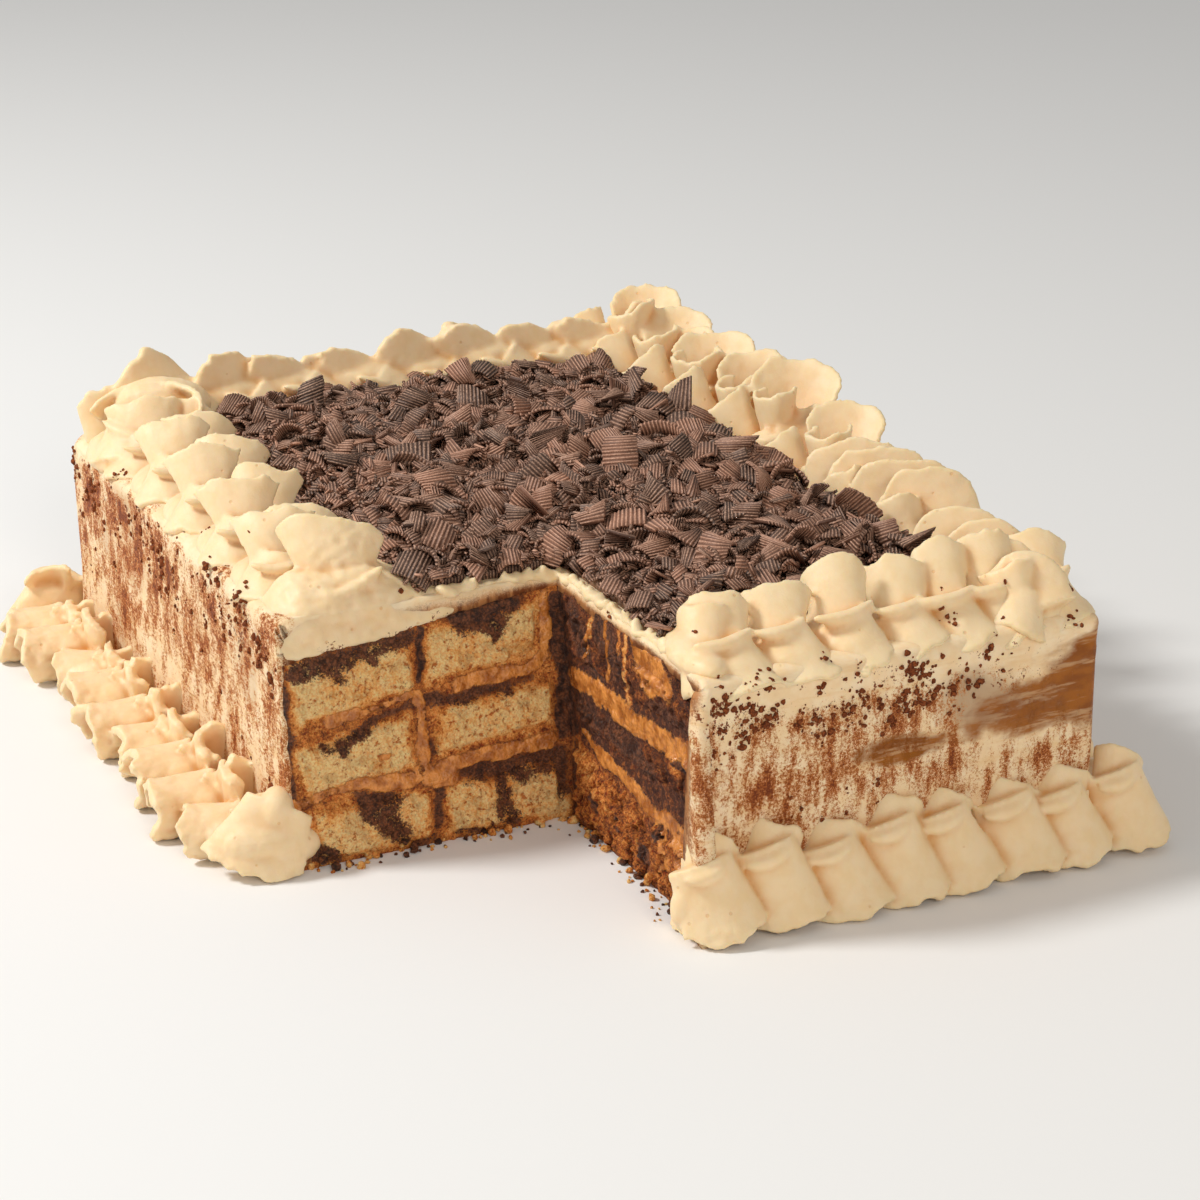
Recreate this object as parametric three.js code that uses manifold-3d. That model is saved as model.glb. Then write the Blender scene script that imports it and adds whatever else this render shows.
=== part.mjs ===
// A rectangular biscuit cake: three layers of sponge biscuits in caramel filling, a coat of coffee
// cream, ruffled cream piping round the top and the foot, and chocolate shavings on the top.
// One corner portion has been cut out, so two cut faces show the layers.
// Millimetres, +Z up. The origin is on the table under the middle of the cake; the missing portion
// is the corner at -X, -Y.
import * as THREE from "three";
import { mergeVertices } from "three/addons/utils/BufferGeometryUtils.js";
import Module from "manifold-3d";

const wasm = await Module();
wasm.setup();

// Driving dimensions
const CAKE_WIDTH = 204; // along X, over the cream walls
const CAKE_LENGTH = 268; // along Y, over the cream walls
const CAKE_HEIGHT = 68; // up to the flat of the cream top
const CUT_X = -19; // the cut face that looks towards -X
const CUT_Y = -48; // the cut face that looks towards -Y, at the cream top
const CUT_LEAN = 10; // how far the foot of that face stands out past its top
const CUT_ROUGHNESS = 0.9; // how far the knife's path strays
const WALL_CREAM = 5; // cream on the sides
const TOP_CREAM = 6; // cream on the top
const CORNER_RADIUS = 9; // upright corners of the cream
const EDGE_RADIUS = 5; // top edge of the cream
const GAP = 0.3; // clearance between pieces that touch

// Layers
const BISCUIT_HEIGHT = 18;
const BISCUIT_WIDTH = 36;
const BISCUIT_SPACING = 40; // from one column of biscuits to the next
const BISCUIT_ROUNDING = 4.5; // long edges of a biscuit
const FILLING_HEIGHT = 4; // caramel between two layers
const SEAM = 1.5; // caramel beside a biscuit

// Each layer, from the table up, with the seam across it that shows in the cut face towards -X.
const LAYERS = [
  { name: "bottom", seam: -104 },
  { name: "middle", seam: -96 },
  { name: "top", seam: -74 },
];

// Piping
const PIPING_FOOT = 4; // how far the ruffles are pressed into what they stand on
const PIPING_DROOP = 4; // how far the outer lobes hang out past the wall
const CORNER_REACH = 14; // how far the foot border runs past each corner of the cake

// The four sides. turn is the way the side faces; half and out are its half length and its distance
// from the middle. The top border's petals lean along the side, tall on its inner or outer line.
const SIDES = [
  {
    name: "left", turn: Math.PI, half: CAKE_LENGTH / 2, out: CAKE_WIDTH / 2,
    top: { pitch: 24, width: 34, outer: 13, inner: 25, lean: -0.3 },
    base: { pitch: 20, width: 26, ear: 22, lean: 0.35 },
  },
  {
    name: "back", turn: Math.PI / 2, half: CAKE_WIDTH / 2, out: CAKE_LENGTH / 2,
    top: { pitch: 22, width: 28, outer: 26, inner: 13, lean: 0.35 },
    base: { pitch: 20, width: 14, ear: 24, lean: 0.3 },
  },
  {
    name: "right", turn: 0, half: CAKE_LENGTH / 2, out: CAKE_WIDTH / 2,
    top: { pitch: 25, width: 34, outer: 27, inner: 17, lean: 0.35 },
    base: { pitch: 20, width: 26, ear: 22, lean: -0.35 },
  },
  {
    name: "front", turn: -Math.PI / 2, half: CAKE_WIDTH / 2, out: CAKE_LENGTH / 2,
    top: { pitch: 20, width: 34, outer: 12, inner: 24, lean: 0.3 },
    base: { pitch: 18, width: 14, ear: 26, lean: 0.4 },
  },
];
const [LEFT, BACK] = SIDES;

// Shavings
const SHAVINGS_AT_CUT = 4; // depth of the bed of small flakes beside the cuts
const SHAVINGS_DEPTH = 8; // and well away from them
const SHAVINGS_RISE = 60; // over what distance the bed deepens
const SHAVINGS_BUMP = 1.3; // how far single small flakes rise above the bed
const SHAVINGS_CELL = 13; // spacing of those bumps
const SHAVINGS_RIM = 7; // bare cream between the shavings and the cuts
const SHAVINGS_COUNT = 52; // larger shavings
const SHAVING_THICKNESS = 1.6;

const { lerp, smoothstep } = THREE.MathUtils;

// A repeatable value from 0 to 1 for each whole number.
function scatter(n) {
  const x = Math.sin(n * 12.9898 + 4.1414) * 43758.5453;
  return x - Math.floor(x);
}

// A bump field, from -1 to 1, for worked surfaces.
function ripple(u, v) {
  const coarse = Math.sin(u * 0.31 + 1.7) * Math.cos(v * 0.27 + 0.4);
  const fine = Math.sin(u * 0.83 + v * 0.59) * Math.cos(v * 0.71 - u * 0.37 + 2.1);
  return 0.45 * coarse + 0.55 * fine;
}

// Closed mesh to solid, turned the right way out.
function solidOf(geometry) {
  const bare = new THREE.BufferGeometry();
  bare.setAttribute("position", geometry.getAttribute("position"));
  bare.setIndex(geometry.getIndex());
  const merged = mergeVertices(bare, 1e-4);
  const triVerts = new Uint32Array(merged.getIndex().array);
  const vertProperties = merged.getAttribute("position").array;
  const make = () => new wasm.Manifold(new wasm.Mesh({ numProp: 3, vertProperties, triVerts }));
  const made = make();
  if (made.volume() > 0) return made;
  for (let i = 0; i < triVerts.length; i += 3) {
    [triVerts[i + 1], triVerts[i + 2]] = [triVerts[i + 2], triVerts[i + 1]];
  }
  return make();
}

const join = (solids) => solids.reduce((whole, next) => whole.add(next));

// The main body of a solid, without the loose scraps that a cut can leave.
function mainBody(solid) {
  return solid.decompose().reduce((best, next) => (next.volume() > best.volume() ? next : best));
}

// Solid to a named mesh.
function meshOf(name, solid, material) {
  const { numProp, numVert, vertProperties, triVerts } = mainBody(solid).getMesh();
  const positions = new Float32Array(numVert * 3);
  for (let i = 0; i < numVert; i++) {
    positions.set(vertProperties.subarray(i * numProp, i * numProp + 3), i * 3);
  }
  const geometry = new THREE.BufferGeometry();
  geometry.setAttribute("position", new THREE.BufferAttribute(positions, 3));
  geometry.setIndex(new THREE.BufferAttribute(triVerts, 1));
  const mesh = new THREE.Mesh(geometry, material);
  mesh.name = name;
  return mesh;
}

// A closed skin through rings that hold the same number of points, with a fan over each end.
function loft(rings) {
  const count = rings[0].length;
  const middle = (ring) =>
    [0, 1, 2].map((axis) => ring.reduce((sum, point) => sum + point[axis], 0) / count);
  const points = [...rings.flat(), middle(rings[0]), middle(rings.at(-1))];
  const first = rings.length * count;
  const end = first - count;
  const index = [];
  for (let i = 0; i < count; i++) {
    const next = (i + 1) % count;
    for (let r = 0; r + 1 < rings.length; r++) {
      const [a, b] = [r * count + i, r * count + next];
      index.push(a, b, b + count, a, b + count, a + count);
    }
    index.push(first, next, i, first + 1, end + i, end + next);
  }
  const geometry = new THREE.BufferGeometry();
  geometry.setAttribute("position", new THREE.Float32BufferAttribute(points.flat(), 3));
  geometry.setIndex(index);
  return solidOf(geometry);
}

// A block with a bumpy top: a grid of cells, its top at height(x, y) and its foot at z.
function field(xs, ys, z, height) {
  const geometry = new THREE.BoxGeometry(1, 1, 1, xs.cells, ys.cells, 1);
  const position = geometry.getAttribute("position");
  for (let i = 0; i < position.count; i++) {
    const x = lerp(xs.from, xs.to, position.getX(i) + 0.5);
    const y = lerp(ys.from, ys.to, position.getY(i) + 0.5);
    position.setXYZ(i, x, y, position.getZ(i) < 0 ? z : height(x, y));
  }
  return solidOf(geometry);
}

// An upright prism over a plan outline.
function prism(outline, bottom, top) {
  const shape = new THREE.Shape(outline.map(([x, y]) => new THREE.Vector2(x, y)));
  const geometry = new THREE.ExtrudeGeometry(shape, { depth: top - bottom, bevelEnabled: false });
  geometry.translate(0, 0, bottom);
  return solidOf(geometry);
}

// A rounded rectangle of points, anticlockwise, centred on the origin.
function roundedOutline(width, length, radius, steps) {
  const points = [];
  for (let corner = 0; corner < 4; corner++) {
    const [sx, sy] = [[1, 1], [-1, 1], [-1, -1], [1, -1]][corner];
    for (let k = 0; k <= steps; k++) {
      const angle = (corner + k / steps) * (Math.PI / 2);
      points.push([
        sx * (width / 2 - radius) + radius * Math.cos(angle),
        sy * (length / 2 - radius) + radius * Math.sin(angle),
      ]);
    }
  }
  return points;
}

// The outside of the cream: upright walls and a rounded top edge. grow moves every face outwards.
function creamBody(grow) {
  const ring = (inset, z) =>
    roundedOutline(
      CAKE_WIDTH + 2 * (grow - inset),
      CAKE_LENGTH + 2 * (grow - inset),
      CORNER_RADIUS + grow - inset,
      3,
    ).map(([x, y]) => [x, y, z]);
  const shoulder = CAKE_HEIGHT + grow - EDGE_RADIUS;
  const rings = [ring(0, grow > 0 ? -PIPING_FOOT - 1 : 0)];
  for (const turn of [0, 30, 60, 90]) {
    const angle = THREE.MathUtils.degToRad(turn);
    rings.push(ring(EDGE_RADIUS * (1 - Math.cos(angle)), shoulder + EDGE_RADIUS * Math.sin(angle)));
  }
  return loft(rings);
}

// The path of the knife: where each cut face lies at a given place on it.
const cutFaceX = (y, z) => CUT_X + CUT_ROUGHNESS * ripple(y * 0.9, z * 1.1);
const cutFaceY = (x, z) =>
  CUT_Y - CUT_LEAN * (1 - z / CAKE_HEIGHT) + CUT_ROUGHNESS * ripple(x * 1.1 + 9, z * 0.9 + 5);

// The missing portion, as a solid to take away.
function missingPortion() {
  const geometry = new THREE.BoxGeometry(1, 1, 1, 6, 5, 7);
  const position = geometry.getAttribute("position");
  const [farX, farY] = [-CAKE_WIDTH, -CAKE_LENGTH];
  const [edgeX, edgeY] = [-CAKE_WIDTH / 2 - 30, -CAKE_LENGTH / 2 - 18];
  const [below, above] = [-10, CAKE_HEIGHT + 40];
  // The cells of a cut face lie over the cake alone; past it comes one long cell.
  const spread = (share, edge, near, far) => (share < 1e-6 ? far : lerp(edge, near, share));
  for (let i = 0; i < position.count; i++) {
    const [u, v, w] = [position.getX(i) + 0.5, position.getY(i) + 0.5, position.getZ(i) + 0.5];
    const z = w > 1 - 1e-6 ? above : lerp(below, CAKE_HEIGHT + 12, w);
    const x = spread(u, edgeX, CUT_X, farX);
    const y = spread(v, edgeY, CUT_Y, farY);
    position.setXYZ(
      i,
      u > 1 - 1e-6 ? cutFaceX(y, z) : x,
      v > 1 - 1e-6 ? cutFaceY(x, z) : y + (cutFaceY(CUT_X, z) - CUT_Y) * v,
      z,
    );
  }
  return solidOf(geometry);
}

// What is inside the cream: the space that the biscuits and the filling share.
function inside(grow) {
  return prism(
    roundedOutline(
      CAKE_WIDTH - 2 * WALL_CREAM + 2 * grow,
      CAKE_LENGTH - 2 * WALL_CREAM + 2 * grow,
      CORNER_RADIUS - WALL_CREAM + grow,
      2,
    ),
    grow > 0 ? -1 : 0,
    CAKE_HEIGHT - TOP_CREAM + grow,
  );
}

// A row of biscuits laid end to end along Y, with the soft edges that biscuits have. Its ends are
// rounded where they meet a seam and run out past the cream where they don't.
function biscuitRow(level, { x, y }, grow) {
  const bottom = level * (BISCUIT_HEIGHT + FILLING_HEIGHT);
  const steps = 3;
  const rings = [];
  for (let k = 0; k <= steps; k++) {
    const along = lerp(y[0] - grow, y[1] + grow, k / steps);
    const sag = level ? 0.7 * ripple(along * 0.4 + level * 7, x[0] * 0.2) : 0;
    const outline = roundedOutline(
      x[1] - x[0] + 2 * grow,
      BISCUIT_HEIGHT + 2 * grow,
      BISCUIT_ROUNDING + grow,
      1,
    );
    const floor = level ? 0 : -1;
    rings.push(
      outline.map(([across, up]) => [
        (x[0] + x[1]) / 2 + across,
        along,
        Math.max(floor, bottom + BISCUIT_HEIGHT / 2 + up + sag - (level ? 0 : grow)),
      ]),
    );
  }
  return loft(rings);
}

// The rows of a layer: two behind the cut face that looks towards -Y, and the rest beside it,
// which a seam parts.
function rowsOf(level) {
  const left = -CAKE_WIDTH / 2 + WALL_CREAM + SEAM;
  const right = CAKE_WIDTH / 2 - WALL_CREAM - SEAM;
  const end = CAKE_LENGTH / 2;
  const shift = (scatter(level + 3) - 0.5) * 1.5;
  const second = left + BISCUIT_SPACING + shift;
  const third = CUT_X - SEAM + shift;
  const { seam } = LAYERS[level];
  return [
    { x: [left, left + BISCUIT_WIDTH + shift], y: [-end, end] },
    { x: [second + SEAM, third - GAP], y: [-end, end] },
    { x: [third + GAP, right], y: [seam + SEAM, end] },
    { x: [third + GAP, right], y: [-end, seam - SEAM] },
  ];
}

// One pulse of piping: a ruffle that rises from a broad foot to a curled sheet. It is lofted across
// the border through stations, each with its place across, foot, rise and fullness.
function ruffle(stations, { at, pitch, lean, seed, place }) {
  const size = 0.88 + 0.24 * scatter(seed * 3 + 1);
  const bend = lean * (0.7 + 0.6 * scatter(seed * 3 + 2));
  const fan = (scatter(seed * 3 + 3) - 0.5) * 0.16;
  const rings = stations.map(({ across, foot, rise, fullness, low = -PIPING_FOOT }) => {
    const half = foot * pitch;
    const top = rise > 0 ? rise * size : rise;
    const tip = bend * pitch * Math.max(0.2, top / 20) + fan * across;
    const waist = (top + low) / 2;
    const crest = 4 * fullness;
    return [
      [-half, low],
      [half, low],
      [tip * 0.3 + half * fullness, waist],
      [tip + crest, top - crest / 2],
      [tip - crest, top],
      [tip * 0.3 - half * fullness, waist],
    ].map(([along, height]) => place(at + along, across, height));
  });
  return loft(rings);
}

// Across the top border, from the lobes that droop over the wall to the petals that stand inside,
// with the dip of the vein between a tall sheet and a low lobe.
function topStations({ width, outer, inner }) {
  const vein = 0.75 * Math.min(outer, inner);
  const tallInside = [[0.14, outer], [0.4, vein], [0.56, inner * 0.92], [0.8, inner]];
  const tallOutside = [[0.08, outer * 0.85], [0.34, outer], [0.52, vein], [0.76, inner]];
  return [
    { across: -PIPING_DROOP, foot: 0.42, rise: -2, low: -9, fullness: 0.7 },
    ...(inner > outer ? tallInside : tallOutside).map(([share, rise]) => ({
      across: share * width,
      foot: 0.8,
      rise,
      fullness: rise > 16 ? 0.3 : 0.5,
    })),
    { across: width - 1, foot: 0.5, rise: inner * 0.65, fullness: 0.3 },
  ];
}

// Across the foot border, from the ears against the wall to the rolled lobes on the table.
const baseStations = ({ width, ear }) => [
  { across: -2, foot: 0.8, rise: ear, fullness: 0.45 },
  { across: 0.24 * width, foot: 0.84, rise: ear * 0.8, fullness: 0.5 },
  { across: 0.5 * width, foot: 0.84, rise: 14, fullness: 0.75 },
  { across: width, foot: 0.54, rise: 12, fullness: 0.8 },
];

// Places a point of a border, given along the side, across it and up from its level.
function placer({ turn, out }, outward, level) {
  const [c, s] = [Math.cos(turn), Math.sin(turn)];
  return (along, across, height) => {
    const x = out + outward * across;
    return [x * c - along * s, x * s + along * c, level + height];
  };
}

// The plan that one side's border may fill: mitred at the corners of the cake, and clipped level
// with the borders of the sides next to it.
function sideSector({ half, out, turn }) {
  const inward = 40;
  const outward = 30;
  const ends = half - GAP;
  const corners = [
    [out - inward, ends - inward],
    [out + CORNER_REACH, ends + CORNER_REACH],
    [out + outward, ends + CORNER_REACH],
    [out + outward, -ends - CORNER_REACH],
    [out + CORNER_REACH, -ends - CORNER_REACH],
    [out - inward, -ends + inward],
  ];
  const [c, s] = [Math.cos(turn), Math.sin(turn)];
  return prism(corners.map(([x, y]) => [x * c - y * s, x * s + y * c]), 0, CAKE_HEIGHT + 60);
}

// A run of ruffles along one side.
function run(side, { pitch, lean }, stations, { place, overshoot, seed }) {
  const half = side.half + overshoot;
  const count = Math.round((2 * half) / pitch);
  const step = (2 * half) / count;
  const ruffles = [];
  for (let k = 0; k < count; k++) {
    const at = -half + (k + 0.5 + (scatter(seed + k * 7) - 0.5) * 0.16) * step;
    ruffles.push(ruffle(stations, { at, pitch: step, lean, seed: seed + k, place }));
  }
  return join(ruffles).intersect(sideSector(side));
}

// The smooth smear that the last pulse of the left border leaves on the top beside the cut.
function smear() {
  const place = placer(LEFT, -1, CAKE_HEIGHT);
  const from = -CUT_Y - 17;
  const rings = [
    { across: -3, rise: 2, low: -11 },
    { across: 6, rise: 13, low: -PIPING_FOOT },
    { across: 22, rise: 14, low: -PIPING_FOOT },
    { across: 34, rise: 5, low: -PIPING_FOOT },
  ].map(({ across, rise, low }) =>
    [[0, low], [30, low], [26, rise * 0.2], [15, rise * 0.45], [0, rise]].map(([along, height]) =>
      place(from + along, across, height),
    ),
  );
  return loft(rings);
}

// One curled shaving.
function shaving(n) {
  const curl = lerp(4, 9, scatter(n * 5 + 1));
  const span = lerp(1.1, 2.2, scatter(n * 5 + 2));
  const width = lerp(6, 11, scatter(n * 5 + 3));
  const from = Math.PI / 2 - span / 2;
  const shape = new THREE.Shape();
  shape.absarc(0, 0, curl, from, from + span, false);
  shape.absarc(0, 0, curl - SHAVING_THICKNESS, from + span, from, true);
  const geometry = new THREE.ExtrudeGeometry(shape, {
    depth: width,
    bevelEnabled: false,
    curveSegments: 2,
  });
  geometry.translate(0, -curl * 0.75, -width / 2);
  geometry.rotateX(Math.PI / 2 + (scatter(n * 5 + 4) - 0.5) * 0.9);
  geometry.rotateY((scatter(n * 5 + 5) - 0.5) * 0.8);
  geometry.rotateZ(scatter(n * 5 + 6) * 2 * Math.PI);
  return geometry;
}

// The room for shavings between the borders: its half width, and its two ends along Y.
const SHAVINGS_X = CAKE_WIDTH / 2 - LEFT.top.width;
const SHAVINGS_Y = [-CAKE_LENGTH / 2 + LEFT.top.width, CAKE_LENGTH / 2 - BACK.top.width];

// The plan that the shavings cover, with a ragged edge.
function shavingsOutline() {
  const [rimX, rimY] = [CUT_X + SHAVINGS_RIM, CUT_Y + SHAVINGS_RIM];
  const corners = [
    [rimX, rimY],
    [rimX, SHAVINGS_Y[0]],
    [SHAVINGS_X, SHAVINGS_Y[0]],
    [SHAVINGS_X, SHAVINGS_Y[1]],
    [-SHAVINGS_X, SHAVINGS_Y[1]],
    [-SHAVINGS_X, rimY],
  ];
  return corners.flatMap((corner, k) => {
    const next = corners[(k + 1) % corners.length];
    const steps = Math.round(Math.hypot(next[0] - corner[0], next[1] - corner[1]) / 18);
    return Array.from({ length: steps }, (_, j) => {
      const inset = GAP + 1.8 * scatter(k * 31 + j);
      const [x, y] = [0, 1].map((axis) => lerp(corner[axis], next[axis], j / steps));
      return [x - Math.sign(x - rimX + 1) * inset, y - Math.sign(y - rimY + 1) * inset];
    });
  });
}

// The bed of small flakes with the larger shavings fused on it.
function shavingsHeap() {
  const foot = CAKE_HEIGHT + GAP;
  const bedTop = (x, y) => {
    const fromCut = Math.hypot(Math.max(0, x - CUT_X), Math.max(0, y - CUT_Y));
    const depth = lerp(SHAVINGS_AT_CUT, SHAVINGS_DEPTH, smoothstep(fromCut, 0, SHAVINGS_RISE));
    return foot + depth + SHAVINGS_BUMP * ripple(x * 1.7, y * 1.9);
  };
  const plan = prism(shavingsOutline(), foot, foot + 30);
  const [near, far] = SHAVINGS_Y;
  const bed = field(
    { from: -SHAVINGS_X, to: SHAVINGS_X, cells: Math.round((2 * SHAVINGS_X) / SHAVINGS_CELL) },
    { from: near, to: far, cells: Math.round((far - near) / SHAVINGS_CELL) },
    foot,
    bedTop,
  ).intersect(plan);
  const edge = 6;
  const pieces = [];
  for (let n = 0; pieces.length < SHAVINGS_COUNT; n++) {
    // Steps of the golden ratio spread the pieces evenly over the plan.
    const x = lerp(edge - SHAVINGS_X, SHAVINGS_X - edge, (n * 0.618034) % 1);
    const y = lerp(near + edge, far - edge, ((n + 0.5) / (SHAVINGS_COUNT * 1.16)) % 1);
    if (x < CUT_X + SHAVINGS_RIM + edge && y < CUT_Y + SHAVINGS_RIM + edge) continue;
    const geometry = shaving(n);
    geometry.translate(x, y, bedTop(x, y) + 0.8);
    pieces.push(solidOf(geometry));
  }
  return join([bed, ...pieces]).intersect(plan);
}

// Finishes
const finish = (color, roughness) => new THREE.MeshStandardMaterial({ color, roughness, metalness: 0 });
const cream = finish(0xeacb97, 0.55);
const sponge = finish(0xd9a968, 0.9);
const caramel = finish(0xa9682f, 0.3);
const chocolate = finish(0x3a241d, 0.6);

const portion = missingPortion();
const guard = creamBody(GAP);
const core = inside(0).subtract(portion);
const cake = new THREE.Group();

cake.add(meshOf("cream_coat", creamBody(0).subtract(inside(GAP)).subtract(portion), cream));

let filling = core;
LAYERS.forEach((layer, level) => {
  rowsOf(level).forEach((row, k) => {
    const biscuits = biscuitRow(level, row, 0).intersect(core);
    filling = filling.subtract(biscuitRow(level, row, GAP));
    cake.add(meshOf(`biscuits_${layer.name}_${k + 1}`, biscuits, sponge));
  });
});
cake.add(meshOf("caramel_filling", filling, caramel));

SIDES.forEach((side, k) => {
  let top = run(side, side.top, topStations(side.top), {
    place: placer(side, -1, CAKE_HEIGHT),
    overshoot: 3,
    seed: 11 + 40 * k,
  });
  if (side === LEFT) top = top.add(smear());
  const base = run(side, side.base, baseStations(side.base), {
    place: placer(side, 1, 0),
    overshoot: CORNER_REACH,
    seed: 211 + 40 * k,
  });
  cake.add(meshOf(`piping_top_${side.name}`, top.subtract(guard).subtract(portion), cream));
  cake.add(meshOf(`piping_base_${side.name}`, base.subtract(guard).subtract(portion), cream));
});

cake.add(meshOf("chocolate_shavings", shavingsHeap(), chocolate));

export default cake;
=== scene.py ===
# %% [markdown]
# # A biscuit cake with ruffled cream
#
# This notebook dresses a packed cake, whose plain solids were made in CAD, with everything that makes
# it look good enough to eat: a smeared coat of coffee cream dusted with cocoa, an open crumb where the
# cake was cut, glossy caramel, ruffled piping and a heap of chocolate shavings.
#
# The solids are only loaded here. They tell each dressed piece where to be, and stay out of sight
# behind it.

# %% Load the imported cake
import itertools
import math

import bpy
import bmesh
import numpy as np
from mathutils import Matrix, Vector


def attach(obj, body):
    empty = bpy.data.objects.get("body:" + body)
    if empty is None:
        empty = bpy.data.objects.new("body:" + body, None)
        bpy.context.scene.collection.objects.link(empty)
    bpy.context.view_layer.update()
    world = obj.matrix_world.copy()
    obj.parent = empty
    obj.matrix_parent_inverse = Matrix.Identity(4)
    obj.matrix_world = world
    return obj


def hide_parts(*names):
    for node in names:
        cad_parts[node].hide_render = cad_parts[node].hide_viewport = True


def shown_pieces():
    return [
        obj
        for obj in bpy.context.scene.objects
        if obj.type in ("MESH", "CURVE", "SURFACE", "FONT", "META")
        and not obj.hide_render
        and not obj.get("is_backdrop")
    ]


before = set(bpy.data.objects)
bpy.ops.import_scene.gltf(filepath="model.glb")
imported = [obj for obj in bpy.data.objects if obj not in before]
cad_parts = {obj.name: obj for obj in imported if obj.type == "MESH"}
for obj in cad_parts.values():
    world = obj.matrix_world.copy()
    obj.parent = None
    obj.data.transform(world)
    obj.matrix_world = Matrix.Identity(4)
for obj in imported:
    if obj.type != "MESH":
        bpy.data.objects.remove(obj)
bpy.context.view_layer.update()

# %% [markdown]
# ## The size of things
#
# Everything is thought out in millimetres, because that is how a cake is measured, and is scaled to
# metres when a mesh is written. These numbers are the ones the solids were built with, so each dressed
# piece lands on its solid.

# %% Sizes of the cake
MM = 0.001
WIDTH, LENGTH, HEIGHT = 204.0, 268.0, 68.0  # over the cream walls, and up to the flat cream top
CUT_X, CUT_Y = -19.0, -48.0  # the two cut faces, at the cream top
CUT_LEAN = 10.0  # how far the foot of the face towards -Y stands out past its top
EDGE_RADIUS = 5.0
WALL_CREAM, TOP_CREAM = 5.0, 6.0
CORNER_REACH = 14.0  # how far the foot border runs past each corner
HALF_WIDTH, HALF_LENGTH = WIDTH / 2, LENGTH / 2


def left_cut_y(z):
    """Where the cut face towards -Y stands at a height: the knife leaned, so its foot is further out."""
    return CUT_Y - CUT_LEAN * (1 - z / HEIGHT)


print("cake", WIDTH, "x", LENGTH, "x", HEIGHT, "mm")

# %% [markdown]
# ## Small tools
#
# Some jobs come back for every piece: starting from a flat grid, reading its points as numbers, writing
# them back after shaping, finishing with a modifier as one would by hand, and painting a value on every
# point for a material to read. The last tool gives smooth noise, the same on every run, for all that is
# uneven on a cake.


# %% Reading, writing, finishing and painting a piece
def deselect():
    if bpy.context.object and bpy.context.object.mode != "OBJECT":
        bpy.ops.object.mode_set(mode="OBJECT")
    bpy.ops.object.select_all(action="DESELECT")


def pick(piece):
    deselect()
    piece.select_set(True)
    bpy.context.view_layer.objects.active = piece


def read_points(piece):
    flat = np.empty(len(piece.data.vertices) * 3, np.float32)
    piece.data.vertices.foreach_get("co", flat)
    return flat.reshape(-1, 3).astype(float) / MM


def write_points(piece, points):
    piece.data.vertices.foreach_set("co", (points * MM).astype(np.float32).ravel())
    piece.data.update()


def read_normals(piece):
    flat = np.empty(len(piece.data.vertices) * 3, np.float32)
    piece.data.vertex_normals.foreach_get("vector", flat)
    return flat.reshape(-1, 3).astype(float)


def use(piece, kind, **values):
    """Adds a modifier with these values and applies it."""
    pick(piece)
    bpy.ops.object.modifier_add(type=kind)
    modifier = piece.modifiers[-1]
    for name, value in values.items():
        setattr(modifier, name, value)
    bpy.ops.object.modifier_apply(modifier=modifier.name)


def paint(piece, name, values):
    """Stores one value on every point, for a material to read."""
    layer = piece.data.attributes.new(name, "FLOAT", "POINT")
    layer.data.foreach_set("value", np.ascontiguousarray(values, np.float32))


def mesh_piece(name, points, faces):
    """A piece from points in millimetres and faces that may have any number of corners."""
    mesh = bpy.data.meshes.new(name)
    mesh.from_pydata((np.asarray(points) * MM).tolist(), [], [list(face) for face in faces])
    mesh.update()
    piece = bpy.data.objects.new(name, mesh)
    bpy.context.scene.collection.objects.link(piece)
    return piece


def triangles(piece):
    piece.data.calc_loop_triangles()
    return len(piece.data.loop_triangles)


def new_grid(name, columns, rows):
    """A flat grid of this many cells, and its points as numbers from -1 to 1 along X and Y."""
    deselect()
    bpy.ops.mesh.primitive_grid_add(x_subdivisions=columns, y_subdivisions=rows, size=2)
    piece = bpy.context.object
    piece.name = piece.data.name = name
    return piece, read_points(piece) * MM


def take_shape(model):
    """The points and faces of a model that was only made to be copied. The model itself goes."""
    points = read_points(model) * MM
    faces = np.array([tuple(face.vertices) for face in model.data.polygons])
    bpy.data.objects.remove(model)
    return points, faces


def write_uv(piece, places):
    """Gives every point its place on a flat pattern."""
    layer = piece.data.uv_layers.active or piece.data.uv_layers.new(name="UVMap")
    layer.name = "UVMap"
    corners = np.empty(len(piece.data.loops), np.int32)
    piece.data.loops.foreach_get("vertex_index", corners)
    layer.data.foreach_set("uv", places[corners].astype(np.float32).ravel())


# %% Smooth noise that is the same on every run
def hashed(cell, seed):
    """A repeatable value from 0 to 1 for each whole-number cell."""
    key = cell[..., 0] * 73856093 ^ cell[..., 1] * 19349663 ^ cell[..., 2] * 83492791 ^ (seed + 1) * 40503
    key = ((key ^ (key >> 13)) * 1274126177) & 0xFFFFFFFF
    key = ((key ^ (key >> 15)) * 2246822519) & 0xFFFFFFFF
    return ((key ^ (key >> 16)) & 0xFFFF) / 0xFFFF


def noise(points, size, seed=0):
    """Noise from -1 to 1 whose lumps are about `size` across; size may differ along X, Y and Z."""
    where = np.asarray(points, float) / size + 0.37 * seed
    cell = np.floor(where).astype(np.int64)
    part = where - cell
    part = part * part * (3 - 2 * part)
    total = np.zeros(len(where))
    for corner in itertools.product((0, 1), repeat=3):
        corner = np.array(corner)
        weight = np.prod(np.where(corner, part, 1 - part), axis=-1)
        total += weight * hashed(cell + corner, seed)
    return 2 * total - 1


def layered_noise(points, size, seed=0, layers=3):
    """Noise with finer and finer lumps laid over the broad ones."""
    total, share = np.zeros(len(points)), 0.0
    for layer in range(layers):
        weight = 0.5**layer
        total += weight * noise(points, np.asarray(size) / 2**layer, seed + 11 * layer)
        share += weight
    return total / share


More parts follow.
